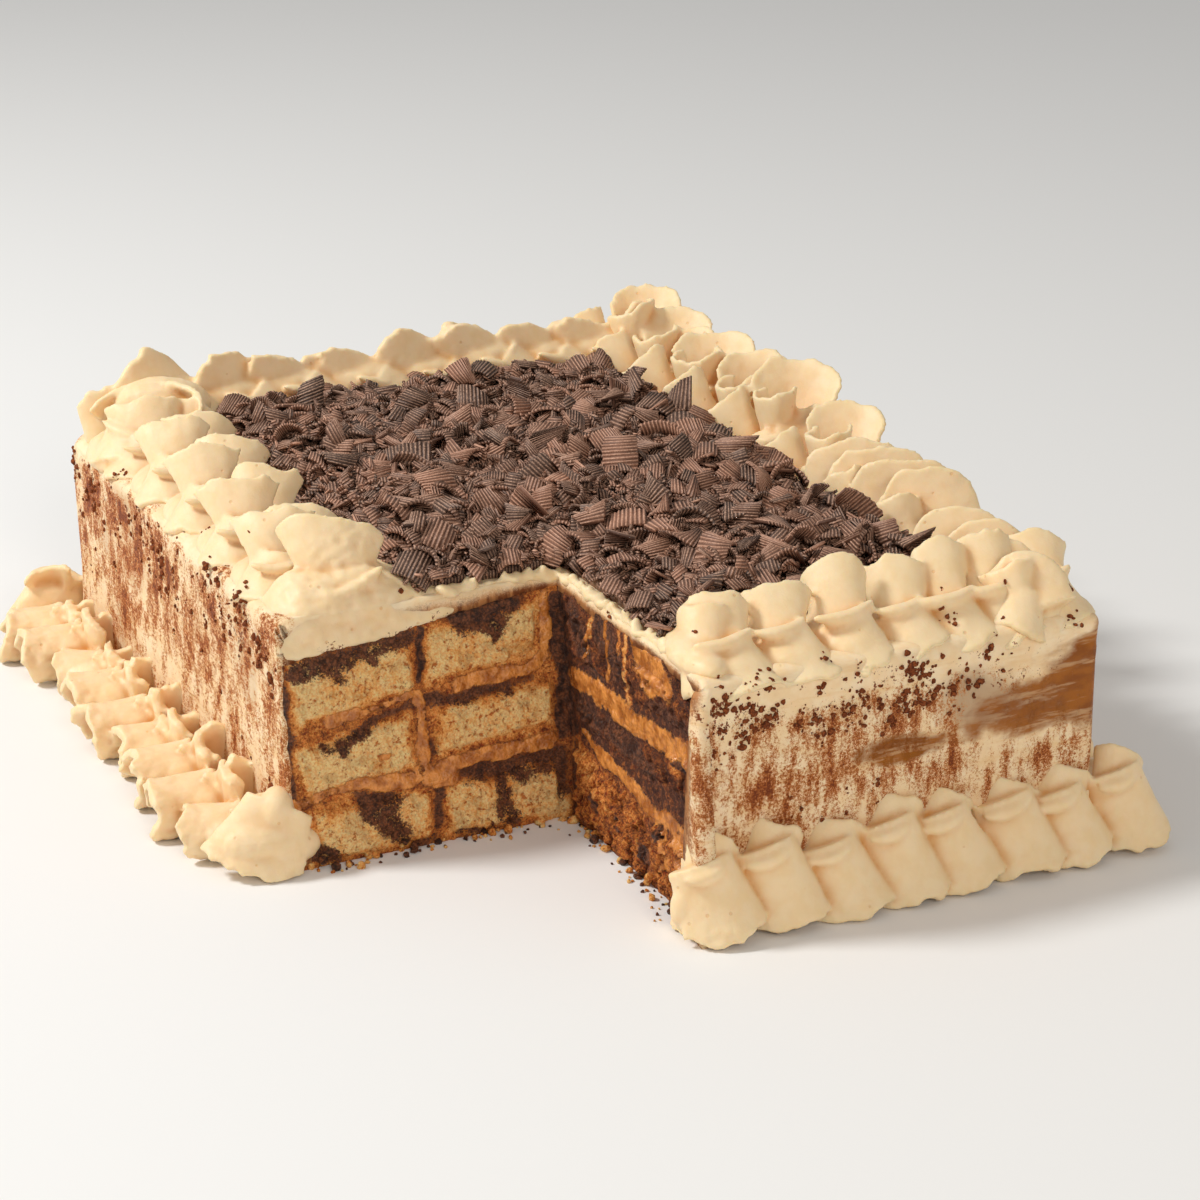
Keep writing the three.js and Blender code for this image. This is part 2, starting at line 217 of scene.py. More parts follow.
def ramp(value, low, high):
    """A smooth step from 0 at low to 1 at high."""
    t = np.clip((value - low) / (high - low), 0, 1)
    return t * t * (3 - 2 * t)


def unit(vector):
    vector = np.asarray(vector, float)
    return vector / np.linalg.norm(vector, axis=-1, keepdims=True)


print("tools ready")

# %% [markdown]
# ## The camera
#
# The photograph was taken from a little above the table, past the cut corner, with a long lens. The
# place and turn below were worked out from the edges and corners of the cake in it.

# %% Camera at the photograph's view
AZIMUTH, ELEVATION, ROLL = (math.radians(angle) for angle in (-26.76, 21.07, 0.63))
SENSOR = 36.0
LENS = 90.057
STAND = (-0.3535, -0.7374, 0.3564)  # where the camera stands, in metres

backward = Vector((
    math.sin(AZIMUTH) * math.cos(ELEVATION),
    -math.cos(AZIMUTH) * math.cos(ELEVATION),
    math.sin(ELEVATION),
))
level = Vector((math.cos(AZIMUTH), math.sin(AZIMUTH), 0))
upward = backward.cross(level)
right = math.cos(ROLL) * level + math.sin(ROLL) * upward
top = -math.sin(ROLL) * level + math.cos(ROLL) * upward

lens = bpy.data.cameras.new("camera")
lens.sensor_width, lens.lens = SENSOR, LENS
lens.clip_start, lens.clip_end = 0.05, 20
camera = bpy.data.objects.new("camera", lens)
bpy.context.scene.collection.objects.link(camera)
turned_to = Matrix((right, top, backward)).transposed().to_4x4()
camera.matrix_world = Matrix.Translation(STAND) @ turned_to
bpy.context.scene.camera = camera
print("camera stands", round(camera.location.length, 3), "m from the middle of the cake")

# %% [markdown]
# ## Finishes
#
# A finish is built from a few small wiring helpers, so that each one below reads as a recipe. What
# more than one finish needs, such as the tiny bubbles of whipped cream or the specks of cocoa, is a
# node group that is built once and placed in each material with its own values.


# %% Wiring helpers
PER_METRE = 1000.0  # Blender counts cells by the metre, and the recipes below by the millimetre


class Recipe:
    """Adds nodes to a tree and joins them. A socket or a plain value may be given for any input."""

    def __init__(self, tree):
        self.tree = tree

    def node(self, kind, settings=None, **inputs):
        made = self.tree.nodes.new(kind)
        for name, value in (settings or {}).items():
            setattr(made, name, value)
        for name, value in inputs.items():
            self.feed(made, name.replace("_", " "), value)
        return made

    def feed(self, node, key, value):
        """Feeds one input, which is found by its name or its number."""
        socket = node.inputs[key]
        if isinstance(value, bpy.types.NodeSocket):
            self.tree.links.new(value, socket)
        else:
            socket.default_value = value

    def math(self, operation, *values, clamp=False):
        made = self.node("ShaderNodeMath", {"operation": operation, "use_clamp": clamp})
        for k, value in enumerate(values):
            self.feed(made, k, value)
        return made.outputs[0]

    def scaled(self, value, by, *plus, clamp=False):
        """A value times another, plus a third if one is given."""
        return self.math("MULTIPLY_ADD" if plus else "MULTIPLY", value, by, *plus, clamp=clamp)

    def step(self, value, low, high):
        """A smooth step from 0 at low to 1 at high."""
        made = self.node("ShaderNodeMapRange", {"interpolation_type": "SMOOTHSTEP"}, Value=value)
        self.feed(made, "From Min", low)
        self.feed(made, "From Max", high)
        return made.outputs[0]

    def mix(self, share, low, high, blend="MIX"):
        made = self.node("ShaderNodeMix", {"data_type": "RGBA", "blend_type": blend})
        for key, value in ((0, share), (6, low), (7, high)):  # the inputs that a mix of colours reads
            self.feed(made, key, value)
        return made.outputs[2]

    def shades(self, value, steps):
        """A colour for a value, from (place, colour) steps."""
        made = self.node("ShaderNodeValToRGB", Fac=value)
        elements = made.color_ramp.elements
        while len(elements) < len(steps):
            elements.new(0.5)
        for element, (at, tint) in zip(elements, steps):
            element.position, element.color = at, tint
        return made.outputs[0]

    def noise(self, vector, scale, detail=3.0, rough=0.55, stretch=None):
        """Cloudy noise with this many lumps a millimetre."""
        if stretch:
            vector = self.node("ShaderNodeMapping", Vector=vector, Scale=stretch).outputs[0]
        settings = dict(Scale=scale * PER_METRE, Detail=detail, Roughness=rough)
        return self.node("ShaderNodeTexNoise", Vector=vector, **settings).outputs[0]

    def cells(self, vector, scale):
        """How far the nearest of this many cells a millimetre is."""
        return self.node("ShaderNodeTexVoronoi", Vector=vector, Scale=scale * PER_METRE).outputs["Distance"]

    def painted(self, name):
        return self.node("ShaderNodeAttribute", {"attribute_name": name}).outputs["Fac"]

    def place(self):
        return self.node("ShaderNodeTexCoord").outputs["Object"]

    def bump(self, height, distance, strength):
        return self.node("ShaderNodeBump", Height=height, Distance=distance, Strength=strength).outputs[0]


def colour(red, green, blue):
    """A colour as a paint chart gives it, from 0 to 255, turned to the linear values that nodes take."""
    share = np.array((red, green, blue)) / 255
    linear = np.where(share <= 0.04045, share / 12.92, ((share + 0.055) / 1.055) ** 2.4)
    return (*linear.tolist(), 1.0)


def group(name, inputs, outputs, wire):
    """A shader node group: inputs are (name, kind, value) rows, and outputs give each name its kind."""
    tree = bpy.data.node_groups.new(name, "ShaderNodeTree")
    for title, kind, value in inputs:
        socket = tree.interface.new_socket(title, in_out="INPUT", socket_type=f"NodeSocket{kind}")
        socket.default_value = value
    for title, kind in outputs.items():
        tree.interface.new_socket(title, in_out="OUTPUT", socket_type=f"NodeSocket{kind}")
    entry, leave = tree.nodes.new("NodeGroupInput"), tree.nodes.new("NodeGroupOutput")
    for title, socket in wire(Recipe(tree), entry.outputs).items():
        tree.links.new(socket, leave.inputs[title])
    return tree


def finish(name, wire, **fixed):
    """A material: wire gives what varies over the surface, fixed sets plain values on the shader."""
    made = bpy.data.materials.new(name)
    made.use_nodes = True
    shader = made.node_tree.nodes["Principled BSDF"]
    for title, value in fixed.items():
        shader.inputs[title.replace("_", " ")].default_value = value
    for title, socket in wire(Recipe(made.node_tree)).items():
        made.node_tree.links.new(socket, shader.inputs[title])
    return made


# %% [markdown]
# Whipped cream is smooth, but never quite: it holds tiny bubbles, and here and there a larger one has
# burst and left a pit. The group gives a height for the bump, and a mask of the pits, which the piping
# darkens a little as painted shade. Cocoa is the other thing that several pieces carry, as specks that
# grow denser where more of it fell.

# %% Bubbles and cocoa, as node groups
def wire_bubbles(recipe, inputs):
    place = inputs["Place"]
    grain = recipe.noise(place, 1.6, 2.0)
    soft = recipe.noise(place, 0.22, 3.0)
    pits = recipe.step(recipe.cells(place, 0.16), 0.10, 0.05)
    height = recipe.scaled(grain, 0.16, recipe.scaled(soft, 0.8))
    return {"Height": recipe.scaled(pits, -0.5, height), "Pits": pits, "Soft": soft}


BUBBLES = group(
    "bubbles",
    [("Place", "Vector", (0, 0, 0))],
    {"Height": "Float", "Pits": "Float", "Soft": "Float"},
    wire_bubbles,
)


def wire_specks(recipe, inputs):
    place, amount = inputs["Place"], inputs["Amount"]
    dust = recipe.noise(place, 1.5, 4.0, 0.7)
    lumps = recipe.noise(place, 0.35, 3.0, 0.6)
    grains = recipe.scaled(dust, 0.46, recipe.scaled(lumps, 0.54))
    edge = recipe.math("SUBTRACT", 0.74, recipe.scaled(amount, 0.42))
    speck = recipe.step(grains, edge, recipe.math("ADD", edge, 0.05))
    return {"Specks": recipe.scaled(speck, recipe.step(amount, 0.0, 0.1))}


SPECKS = group(
    "cocoa_specks",
    [("Place", "Vector", (0, 0, 0)), ("Amount", "Float", 0.0)],
    {"Specks": "Float"},
    wire_specks,
)


def placed(recipe, tree, **inputs):
    """A node group in a material, with its inputs fed."""
    made = recipe.node("ShaderNodeGroup", {"node_tree": tree})
    for name, value in inputs.items():
        recipe.feed(made, name, value)
    return made.outputs


print("node groups", [tree.name for tree in bpy.data.node_groups])

# %% [markdown]
# The cream is coloured with coffee and caramel: a warm ivory. Its folds and pits are painted a little
# deeper and yellower, as painted shade for the hollows where light has passed through it. Light enters
# whipped cream, so a little subsurface scattering softens every fold.

# %% The piped cream
CREAM = colour(244, 216, 173)
# painted shade: the deeper, yellower tone of the folds and the bubble pits
CREAM_PAINTED_SHADE = colour(212, 150, 80)
COCOA_DARK = colour(122, 56, 26)


def wire_piping(recipe):
    place = recipe.place()
    bubbles = placed(recipe, BUBBLES, Place=place)
    tint = recipe.mix(recipe.step(bubbles["Soft"], 0.35, 0.7), CREAM, colour(241, 210, 162))
    # Painted shade: the folds, by their painted depth, and the pits are tinted deeper
    tint = recipe.mix(recipe.painted("depth"), tint, CREAM_PAINTED_SHADE)
    tint = recipe.mix(recipe.scaled(bubbles["Pits"], 0.35), tint, CREAM_PAINTED_SHADE)
    specks = placed(recipe, SPECKS, Place=place, Amount=recipe.painted("dust"))["Specks"]
    tint = recipe.mix(specks, tint, COCOA_DARK)
    return {
        "Base Color": tint,
        "Normal": recipe.bump(bubbles["Height"], 0.0005, 0.5),
    }


piping_finish = finish(
    "whipped_coffee_cream", wire_piping, Roughness=0.5, Specular_IOR_Level=0.35, Subsurface_Weight=0.25,
    Subsurface_Radius=(1.0, 0.55, 0.25), Subsurface_Scale=0.004,
)

# %% [markdown]
# The coat is the same cream, drawn over the cake with a palette knife, then dusted with cocoa that the
# knife dragged into upright streaks. The mesh says how much cocoa lies where; the streaks and specks
# inside each patch are drawn by noise that is stretched along the strokes. Where the knife went too
# deep, the caramel underneath shows, and it alone is glossy.

# %% The cream coat
CARAMEL = colour(168, 97, 40)
POWDER_STEPS = [  # from a breath of cocoa to a clot
    (0.00, colour(244, 208, 156)), (0.20, colour(214, 134, 62)),
    (0.50, colour(180, 94, 38)), (0.85, colour(116, 52, 20)),
]


def wire_coat(recipe):
    place = recipe.place()
    bubbles = placed(recipe, BUBBLES, Place=place)
    cocoa = recipe.painted("cocoa")
    streaks = recipe.noise(place, 0.36, 4.0, 0.6, stretch=(1.0, 0.55, 0.28))
    grains = recipe.noise(place, 1.3, 6.0, 0.95, stretch=(1.0, 0.5, 1.0))
    patches = recipe.noise(place, 0.17, 4.0, 0.6, stretch=(1.0, 1.0, 0.75))
    swipes = recipe.noise(place, 0.35, 4.0, 0.6, stretch=(0.14, 0.14, 1.0))
    lie = recipe.scaled(streaks, 2.4, recipe.scaled(grains, 5.0, -4.42))
    lie = recipe.math("ADD", lie, recipe.scaled(patches, 1.3, recipe.scaled(cocoa, 1.2)))
    powder = recipe.scaled(recipe.math("SUBTRACT", lie, 0.50), recipe.step(cocoa, 0.0, 0.15), clamp=True)
    tint = recipe.mix(recipe.step(bubbles["Soft"], 0.3, 0.7), colour(247, 222, 184), colour(242, 210, 164))
    tint = recipe.mix(recipe.step(swipes, 0.50, 0.72), tint, colour(238, 202, 152))
    tint = recipe.mix(recipe.painted("grey"), tint, colour(186, 154, 120))
    tint = recipe.mix(recipe.step(powder, 0.0, 0.2), tint, recipe.shades(powder, POWDER_STEPS))
    specks = placed(recipe, SPECKS, Place=place, Amount=recipe.painted("dust"))["Specks"]
    tint = recipe.mix(specks, tint, COCOA_DARK)
    soaked = recipe.scaled(recipe.math("SUBTRACT", grains, 0.5), 1.2, recipe.painted("stain"))
    soaked = recipe.step(soaked, 0.12, 0.75)
    stain = recipe.mix(recipe.step(streaks, 0.4, 0.6), colour(120, 66, 34), colour(186, 128, 78))
    tint = recipe.mix(soaked, tint, stain)
    bare = recipe.painted("caramel")
    broken = recipe.noise(place, 0.25, 4.0, 0.55, stretch=(0.4, 0.4, 1.0))
    bare = recipe.step(recipe.scaled(recipe.math("SUBTRACT", broken, 0.5), 1.3, bare), 0.16, 0.8)
    bare = recipe.scaled(bare, recipe.scaled(recipe.step(swipes, 0.52, 0.68), -0.4, 1.0))
    glaze = recipe.mix(recipe.step(broken, 0.36, 0.62), colour(138, 74, 8), colour(160, 92, 16))
    tint = recipe.mix(bare, tint, glaze)
    rough = recipe.scaled(bare, -0.36, 0.58)
    height = recipe.scaled(powder, 0.6, bubbles["Height"])
    return {
        "Base Color": tint,
        "Roughness": recipe.scaled(specks, 0.2, rough),
        "Normal": recipe.bump(height, 0.0005, 0.55),
    }


coat_finish = finish(
    "smeared_cream_and_cocoa", wire_coat, Specular_IOR_Level=0.25, Subsurface_Weight=0.15,
    Subsurface_Radius=(1.0, 0.55, 0.25), Subsurface_Scale=0.003,
)

# %% [markdown]
# Where the cocoa took up moisture it clotted into small lumps: dull, and darker than the dry powder.

# %% The clotted cocoa
def wire_clots(recipe):
    grain = recipe.noise(recipe.place(), 1.4, 4.0, 0.7)
    tint = recipe.mix(recipe.step(grain, 0.35, 0.7), colour(84, 38, 18), colour(156, 82, 40))
    return {"Base Color": tint, "Normal": recipe.bump(grain, 0.0004, 0.8)}


clot_finish = finish("clotted_cocoa", wire_clots, Roughness=0.85, Specular_IOR_Level=0.2)

# %% [markdown]
# Sponge is pale in its middle and full of fine pores. Caramel and coffee have soaked in from its rims,
# through orange to a dark brown, so there is no hard line between a biscuit and what lies round it.
# One node group draws that soaked crumb from three painted values: how pale the crumb still is, how
# much coffee stains it, and how much glossy caramel lies over it. The sponge and the caramel both use
# it, so their finishes meet without a seam.

# %% The soaked crumb, as a node group
CRUMB_STEPS = [  # from soaked through to dry
    (0.00, colour(74, 36, 14)), (0.20, colour(134, 72, 28)), (0.40, colour(200, 118, 46)),
    (0.60, colour(240, 162, 80)), (0.80, colour(255, 198, 120)), (1.00, colour(255, 219, 152)),
]
COFFEE = colour(50, 26, 17)
COFFEE_PALE = colour(136, 80, 48)
CARAMEL_LIGHT = colour(224, 146, 72)


def wire_crumb(recipe, inputs):
    place = inputs["Place"]
    fine = recipe.noise(place, 1.7, 5.0, 0.75)
    broad = recipe.noise(place, 0.45, 4.0, 0.7)
    soft = recipe.noise(place, 0.25, 2.0)
    wander = recipe.math("SUBTRACT", recipe.scaled(fine, 0.5, recipe.scaled(broad, 0.5)), 0.5)
    dry = recipe.scaled(wander, 2.6, inputs["Pale"], clamp=True)
    shades = recipe.shades(dry, CRUMB_STEPS)
    gaps = recipe.step(recipe.cells(place, 1.5), 0.36, 0.8)  # between the grains of crumb
    pores = recipe.step(recipe.noise(place, 0.7, 4.0, 0.65), 0.44, 0.35)
    # Painted shade: the gaps between the grains and the pores are darkened, as shade in the crumb.
    tint = recipe.mix(recipe.scaled(gaps, 0.45), shades, colour(236, 170, 104), "MULTIPLY")
    tint = recipe.mix(recipe.scaled(pores, 0.85), tint, colour(206, 132, 66), "MULTIPLY")
    coffee = recipe.step(recipe.scaled(wander, 3.6, inputs["Coffee"]), 0.30, 0.64)
    stain = recipe.mix(recipe.step(broad, 0.40, 0.60), COFFEE, COFFEE_PALE)
    # painted shade between the grains, in the coffee stain too
    stain = recipe.mix(recipe.scaled(gaps, 0.7), stain, COFFEE)
    tint = recipe.mix(coffee, tint, stain)
    glaze = recipe.step(recipe.scaled(wander, 1.8, inputs["Caramel"]), 0.38, 0.56)
    tint = recipe.mix(glaze, tint, recipe.mix(recipe.step(soft, 0.36, 0.64), CARAMEL, CARAMEL_LIGHT))
    rough = recipe.scaled(coffee, -0.5, recipe.scaled(glaze, -0.66, 0.86))
    grain = recipe.scaled(gaps, -0.22, recipe.scaled(pores, -0.7, fine))
    flat = recipe.scaled(glaze, -0.82, 1.0)
    waves = recipe.scaled(recipe.noise(place, 0.42, 2.0), glaze)
    return {
        "Colour": tint,
        "Roughness": recipe.math("MAXIMUM", rough, 0.18),
        "Height": recipe.scaled(waves, 1.8, recipe.scaled(grain, flat)),
    }


CRUMB = group(
    "soaked_crumb",
    [
        ("Place", "Vector", (0, 0, 0)), ("Pale", "Float", 0.0), ("Coffee", "Float", 0.0),
        ("Caramel", "Float", 0.0),
    ],
    {"Colour": "Color", "Roughness": "Float", "Height": "Float"},
    wire_crumb,
)


def wire_soaked(recipe):
    crumb = placed(
        recipe, CRUMB, Place=recipe.place(), Pale=recipe.painted("pale"), Coffee=recipe.painted("coffee"),
        Caramel=recipe.painted("caramel"),
    )
    # Painted shade: the big holes of the crumb are darkened to a deep brown.
    hollow = recipe.mix(recipe.scaled(recipe.painted("hollow"), 0.75), crumb["Colour"], colour(70, 34, 14))
    return {
        "Base Color": hollow,
        "Roughness": crumb["Roughness"],
        "Normal": recipe.bump(crumb["Height"], 0.0010, 0.8),
    }


sponge_finish = finish(
    "soaked_sponge", wire_soaked, Specular_IOR_Level=0.4, Subsurface_Weight=0.12,
    Subsurface_Radius=(1.0, 0.45, 0.15), Subsurface_Scale=0.003,
)
caramel_finish = finish(
    "glossy_caramel", wire_soaked, Specular_IOR_Level=0.5, Subsurface_Weight=0.06,
    Subsurface_Radius=(1.0, 0.5, 0.2), Subsurface_Scale=0.002,
)

# %% [markdown]
# The chocolate was drawn over a grater, which leaves fine ridges across each curl and a pale bloom on
# them. The bloom is painted brightest on the crests, partly as a painted highlight, and the grooves
# between the ridges are painted dark, as painted shade. The curls carry their own UV map, measured in
# millimetres, so that the ridges turn with them.

# %% The chocolate
CHOCOLATE = colour(178, 120, 92)
# pale bloom, also a painted highlight on the crests of the ridges
CHOCOLATE_BLOOM_AND_HIGHLIGHT = colour(240, 194, 164)
RIDGE = 0.95  # millimetres from one ridge to the next


def wire_chocolate(recipe):
    place = recipe.place()
    flat = recipe.node("ShaderNodeUVMap", {"uv_map": "UVMap"}).outputs[0]
    along = recipe.node("ShaderNodeSeparateXYZ", Vector=flat).outputs[0]
    wobble = recipe.noise(place, 0.4, 2.0)
    turn = recipe.scaled(wobble, 0.5, recipe.scaled(along, 2 * math.pi / RIDGE, -0.5 * math.pi))
    ridge = recipe.scaled(recipe.math("SINE", turn), 0.5, 0.5)
    grain = recipe.noise(place, 1.8, 4.0, 0.7)
    # the bloom, painted on the crests, is partly a painted highlight
    bloom_and_highlight = recipe.scaled(recipe.step(grain, 0.25, 0.75), recipe.scaled(ridge, 0.75, 0.05))
    # Curls differ in tone at random; the darkest end is also the painted shade of the heap's core.
    tint = recipe.mix(recipe.painted("tone"), colour(50, 28, 20), CHOCOLATE)
    # painted shade in the grooves between the ridges
    tint = recipe.mix(recipe.scaled(ridge, -0.6, 0.6), tint, colour(44, 24, 18))
    tint = recipe.mix(bloom_and_highlight, tint, CHOCOLATE_BLOOM_AND_HIGHLIGHT)
    height = recipe.scaled(grain, 0.25, ridge)
    return {
        "Base Color": tint,
        "Roughness": recipe.scaled(grain, 0.3, 0.42),
        "Normal": recipe.bump(height, 0.0005, 0.9),
    }


chocolate_finish = finish("grated_chocolate", wire_chocolate, Specular_IOR_Level=0.4)
FINISHES = (piping_finish, coat_finish, clot_finish, sponge_finish, caramel_finish, chocolate_finish)
print("finishes", [made.name for made in FINISHES])


# %% Handing a piece over
def hand_over(piece, material, slot, *nodes):
    """The last step of each piece: its finish, the body it rides on and the nodes it stands for."""
    piece.data.materials.clear()
    piece.data.materials.append(material)
    pick(piece)
    bpy.ops.object.shade_smooth()
    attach(piece, "root")
    if nodes:
        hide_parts(*nodes)
    print(f"{piece.name}: {triangles(piece)} triangles")


# %% [markdown]
# ## The coat of cream
#
# On the real cake the coat is a skin of cream, 5 mm thick on the walls and 6 mm on the top, and it
# ends where the knife took the missing portion away. It could be cut from a block with booleans, but
# a skin grows more naturally from one sheet: a grid for the top, with its outer edge extruded down for
# the walls. The sheet is shaped while it is still thin, and Solidify gives it its thickness last, so
# the cut edges show the cream all through.


# %% The sheet for the coat
def spread(stops, *steps):
    """Lines from stop to stop, each stretch with its own spacing."""
    lines = [stops[0]]
    for near, far, step in zip(stops, stops[1:], steps):
        count = max(1, round((far - near) / step))
        lines += [near + (far - near) * k / count for k in range(1, count + 1)]
    return np.array(lines)


EDGE_LINES = np.array([0.0, 0.9, 1.9, 3.2, 5.0])  # close lines at an edge, for its curve
EDGE_BAND = 7.0  # how far from the edge the even lines start
COARSE_STEP, FINE_STEP = 3.2, 1.5


def edged(half, middle):
    """Lines from wall to wall: close ones at both edges, and the given ones between them."""
    return np.concatenate([-half + EDGE_LINES, middle, (half - EDGE_LINES)[::-1]])


stops = [EDGE_BAND - HALF_WIDTH, CUT_X - 6, CUT_X, HALF_WIDTH - EDGE_BAND]
coat_x = edged(HALF_WIDTH, spread(stops, COARSE_STEP, FINE_STEP, FINE_STEP))
stops = [EDGE_BAND - HALF_LENGTH, CUT_Y, HALF_LENGTH - EDGE_BAND]
coat_y = edged(HALF_LENGTH, spread(stops, COARSE_STEP, FINE_STEP))
coat_z = np.concatenate([HEIGHT - EDGE_LINES[1:], spread([0.0, HEIGHT - EDGE_BAND], 1.6)[::-1]])

coat, flat = new_grid("coat", len(coat_x) - 1, len(coat_y) - 1)
column = np.rint((flat[:, 0] + 1) / 2 * (len(coat_x) - 1)).astype(int)
row = np.rint((flat[:, 1] + 1) / 2 * (len(coat_y) - 1)).astype(int)
write_points(coat, np.column_stack([coat_x[column], coat_y[row], np.full(len(flat), HEIGHT)]))

# %% Take the missing corner away and draw the walls down
pick(coat)
bpy.ops.object.mode_set(mode="EDIT")
work = bmesh.from_edit_mesh(coat.data)
HAIR = 0.01  # a tolerance, in millimetres
for face in work.faces:
    middle = face.calc_center_median() / MM
    face.select_set(middle.x < CUT_X and middle.y < CUT_Y)
bpy.ops.mesh.delete(type="FACE")
work = bmesh.from_edit_mesh(coat.data)
for part in (*work.faces, *work.edges, *work.verts):
    part.select_set(False)
for edge in work.edges:
    ends = [vert.co / MM for vert in edge.verts]
    on_side = all(abs(abs(end.x) - HALF_WIDTH) < HAIR for end in ends)
    on_end = all(abs(abs(end.y) - HALF_LENGTH) < HAIR for end in ends)
    edge.select_set(on_side or on_end)
previous = HEIGHT
for height in coat_z:
    bpy.ops.mesh.extrude_edges_move(TRANSFORM_OT_translate={"value": (0, 0, (height - previous) * MM)})
    previous = height
bpy.ops.object.mode_set(mode="OBJECT")
print("coat sheet", len(coat.data.polygons), "faces")

# %% [markdown]
# The sheet is still a sharp box. Its upright corners and top edge are rounded by drawing each point in
# towards a circle. Then come the marks of work: broad waves, upright strokes on the left wall and
# level ones on the front, and the lean of the cut.

# %% Round the box
sharp = read_points(coat)
LEFT_RADIUS, NEAR_RIGHT_RADIUS, FAR_RIGHT_RADIUS = 11.0, 3.5, 9.0  # of the upright corners
corner_radius = np.where(sharp[:, 1] < 0, NEAR_RIGHT_RADIUS, FAR_RIGHT_RADIUS)
corner_radius = np.where(sharp[:, 0] < 0, LEFT_RADIUS, corner_radius)
inner = np.array([HALF_WIDTH, HALF_LENGTH]) - corner_radius[:, None]
core = np.clip(sharp[:, :2], -inner, inner)
away = sharp[:, :2] - core
reach = np.abs(away).max(axis=1)
length = np.hypot(*away.T)
outward = np.divide(away, length[:, None], out=np.zeros_like(away), where=length[:, None] > 0)
inset = corner_radius - reach
depth = HEIGHT - sharp[:, 2]
near_edge = (inset < EDGE_RADIUS) & (depth < EDGE_RADIUS) & (reach > 0)
across, down = EDGE_RADIUS - inset, EDGE_RADIUS - depth
shrink = np.maximum(across, down) / np.maximum(np.hypot(across, down), 1e-9)
inset = np.where(near_edge, EDGE_RADIUS - across * shrink, inset)
depth = np.where(near_edge, EDGE_RADIUS - down * shrink, depth)
rounded = np.column_stack([core + outward * (corner_radius - inset)[:, None], HEIGHT - depth])
rounded[reach == 0] = sharp[reach == 0]

# %% Marks of the palette knife
x, y, z = rounded.T
wall = ramp(depth, 1.0, 5.0) * (reach > 0)
on_left = wall * ramp(-outward[:, 0], 0.5, 0.9)
on_front = wall * ramp(-outward[:, 1], 0.5, 0.9)
waves = 0.9 * noise(rounded, (34, 34, 30), 3)
upright = 0.35 * layered_noise(rounded, (5, 5, 40), 5)
level_strokes = 0.55 * layered_noise(rounded, (42, 42, 6), 7)
ridges = 0.5 * ramp(noise(rounded, (30, 30, 14), 8), 0.25, 0.45)
push = wall * (waves + upright * (1 - on_front) + (level_strokes + ridges) * on_front)
facing = np.column_stack([outward, np.zeros(len(x))])
shaped = rounded + facing * (push - 0.4 * wall)[:, None]
shaped[:, 2] += (1 - wall) * 0.5 * noise(rounded, (9, 9, 9), 9)
beside_cut = (x < CUT_X + HAIR) * np.clip(1 - (y - CUT_Y) / 30, 0, 1)
shaped[:, 1] -= CUT_LEAN * (depth / HEIGHT) * beside_cut
ragged = 1.1 * layered_noise(rounded, 4.0, 12) + 0.5 * noise(rounded, 1.7, 13)
on_cut_y = (x < CUT_X + HAIR) & (np.abs(y - CUT_Y) < HAIR)
on_cut_x = (y < CUT_Y + HAIR) & (np.abs(x - CUT_X) < HAIR)
shaped[:, 1] += on_cut_y * (0.3 + ragged * 0.45)
shaped[:, 0] += on_cut_x * (0.3 + ragged * 0.45)
shaped[:, 2] = np.maximum(shaped[:, 2], 0.02)
write_points(coat, shaped)

# %% [markdown]
# Cocoa is painted where the photograph shows it: dense and streaky over the whole left wall, with
# darker patches under the piping; on the front, a clean band above and a mottled field below; and on
# the hidden walls the same kind of cover as on the left one. At the right end of the front the knife
# went through to the caramel.


# %% Where the cocoa, the dust and the bare caramel lie
def blot(points, centre, radii):
    """A frayed oval: 1 in the middle, 0 outside."""
    offset = (points - np.asarray(centre)) / np.asarray(radii)
    return ramp(0.45 * layered_noise(points, 7.0, 20, 4) - np.linalg.norm(offset, axis=1), -1.25, -0.45)


DARK_PATCHES = [  # under the piping of the left wall, as (middle, radii)
    ((-102, 84, 57), (30, 14, 6)), ((-102, 62, 55), (30, 9, 8)), ((-102, 38, 54), (30, 9, 8)),
    ((-102, -28, 55), (30, 14, 10)), ((-102, 6, 56), (30, 9, 7)), ((-102, 108, 50), (30, 13, 12)),
]
broad = layered_noise(shaped, (16, 16, 26), 21)
cover = 0.46 + 0.18 * ramp(z, 8, 44) + 0.30 * broad
for centre, radii in DARK_PATCHES:
    cover = np.maximum(cover, 0.92 * blot(shaped, centre, radii))
cover *= 1 - 0.4 * ramp(noise(shaped, (9, 9, 36), 23), 0.2, 0.7)
front_cover = 0.44 + 0.24 * ramp(z, 16, 34) + 0.36 * broad
front_cover *= ramp(61 + 5 * layered_noise(shaped, (9, 9, 9), 22) - z, 0, 7)
front_cover *= 1 - 0.6 * ramp(x + 8 * broad, 50, 70) * ramp(z, 26, 40)
front_cover *= 1 - 0.8 * blot(shaped, (63, -134, 49), (9, 20, 8))
ledge = 0.62 * ramp(noise(shaped, (7, 9, 7), 24), 0.0, 0.5) * ramp(-x, 94, 99) * ramp(z, 62, 66)
cocoa = np.where(on_front > 0.5, front_cover, cover * ramp(67.0 + 3 * broad - z, 0, 5))
cocoa *= 1 - 0.4 * ramp(-y - z * CUT_LEAN / HEIGHT, 53, 57) * on_left
cocoa = np.clip(np.maximum(cocoa * ramp(wall, 0.0, 0.6), ledge), 0, 1)
specked = (0.38 + 0.16 * noise(shaped, (9, 9, 7), 25)) * ramp(z, 40, 54) * (1 - 0.4 * ramp(z, 63, 68))
dust = np.clip(specked * np.maximum(on_front, on_left), 0, 1)
bare = 0.8 * blot(shaped, (84, -134, 45), (27, 30, 9))
bare = np.maximum(bare, blot(shaped, (100, -131, 50), (19, 24, 17)))
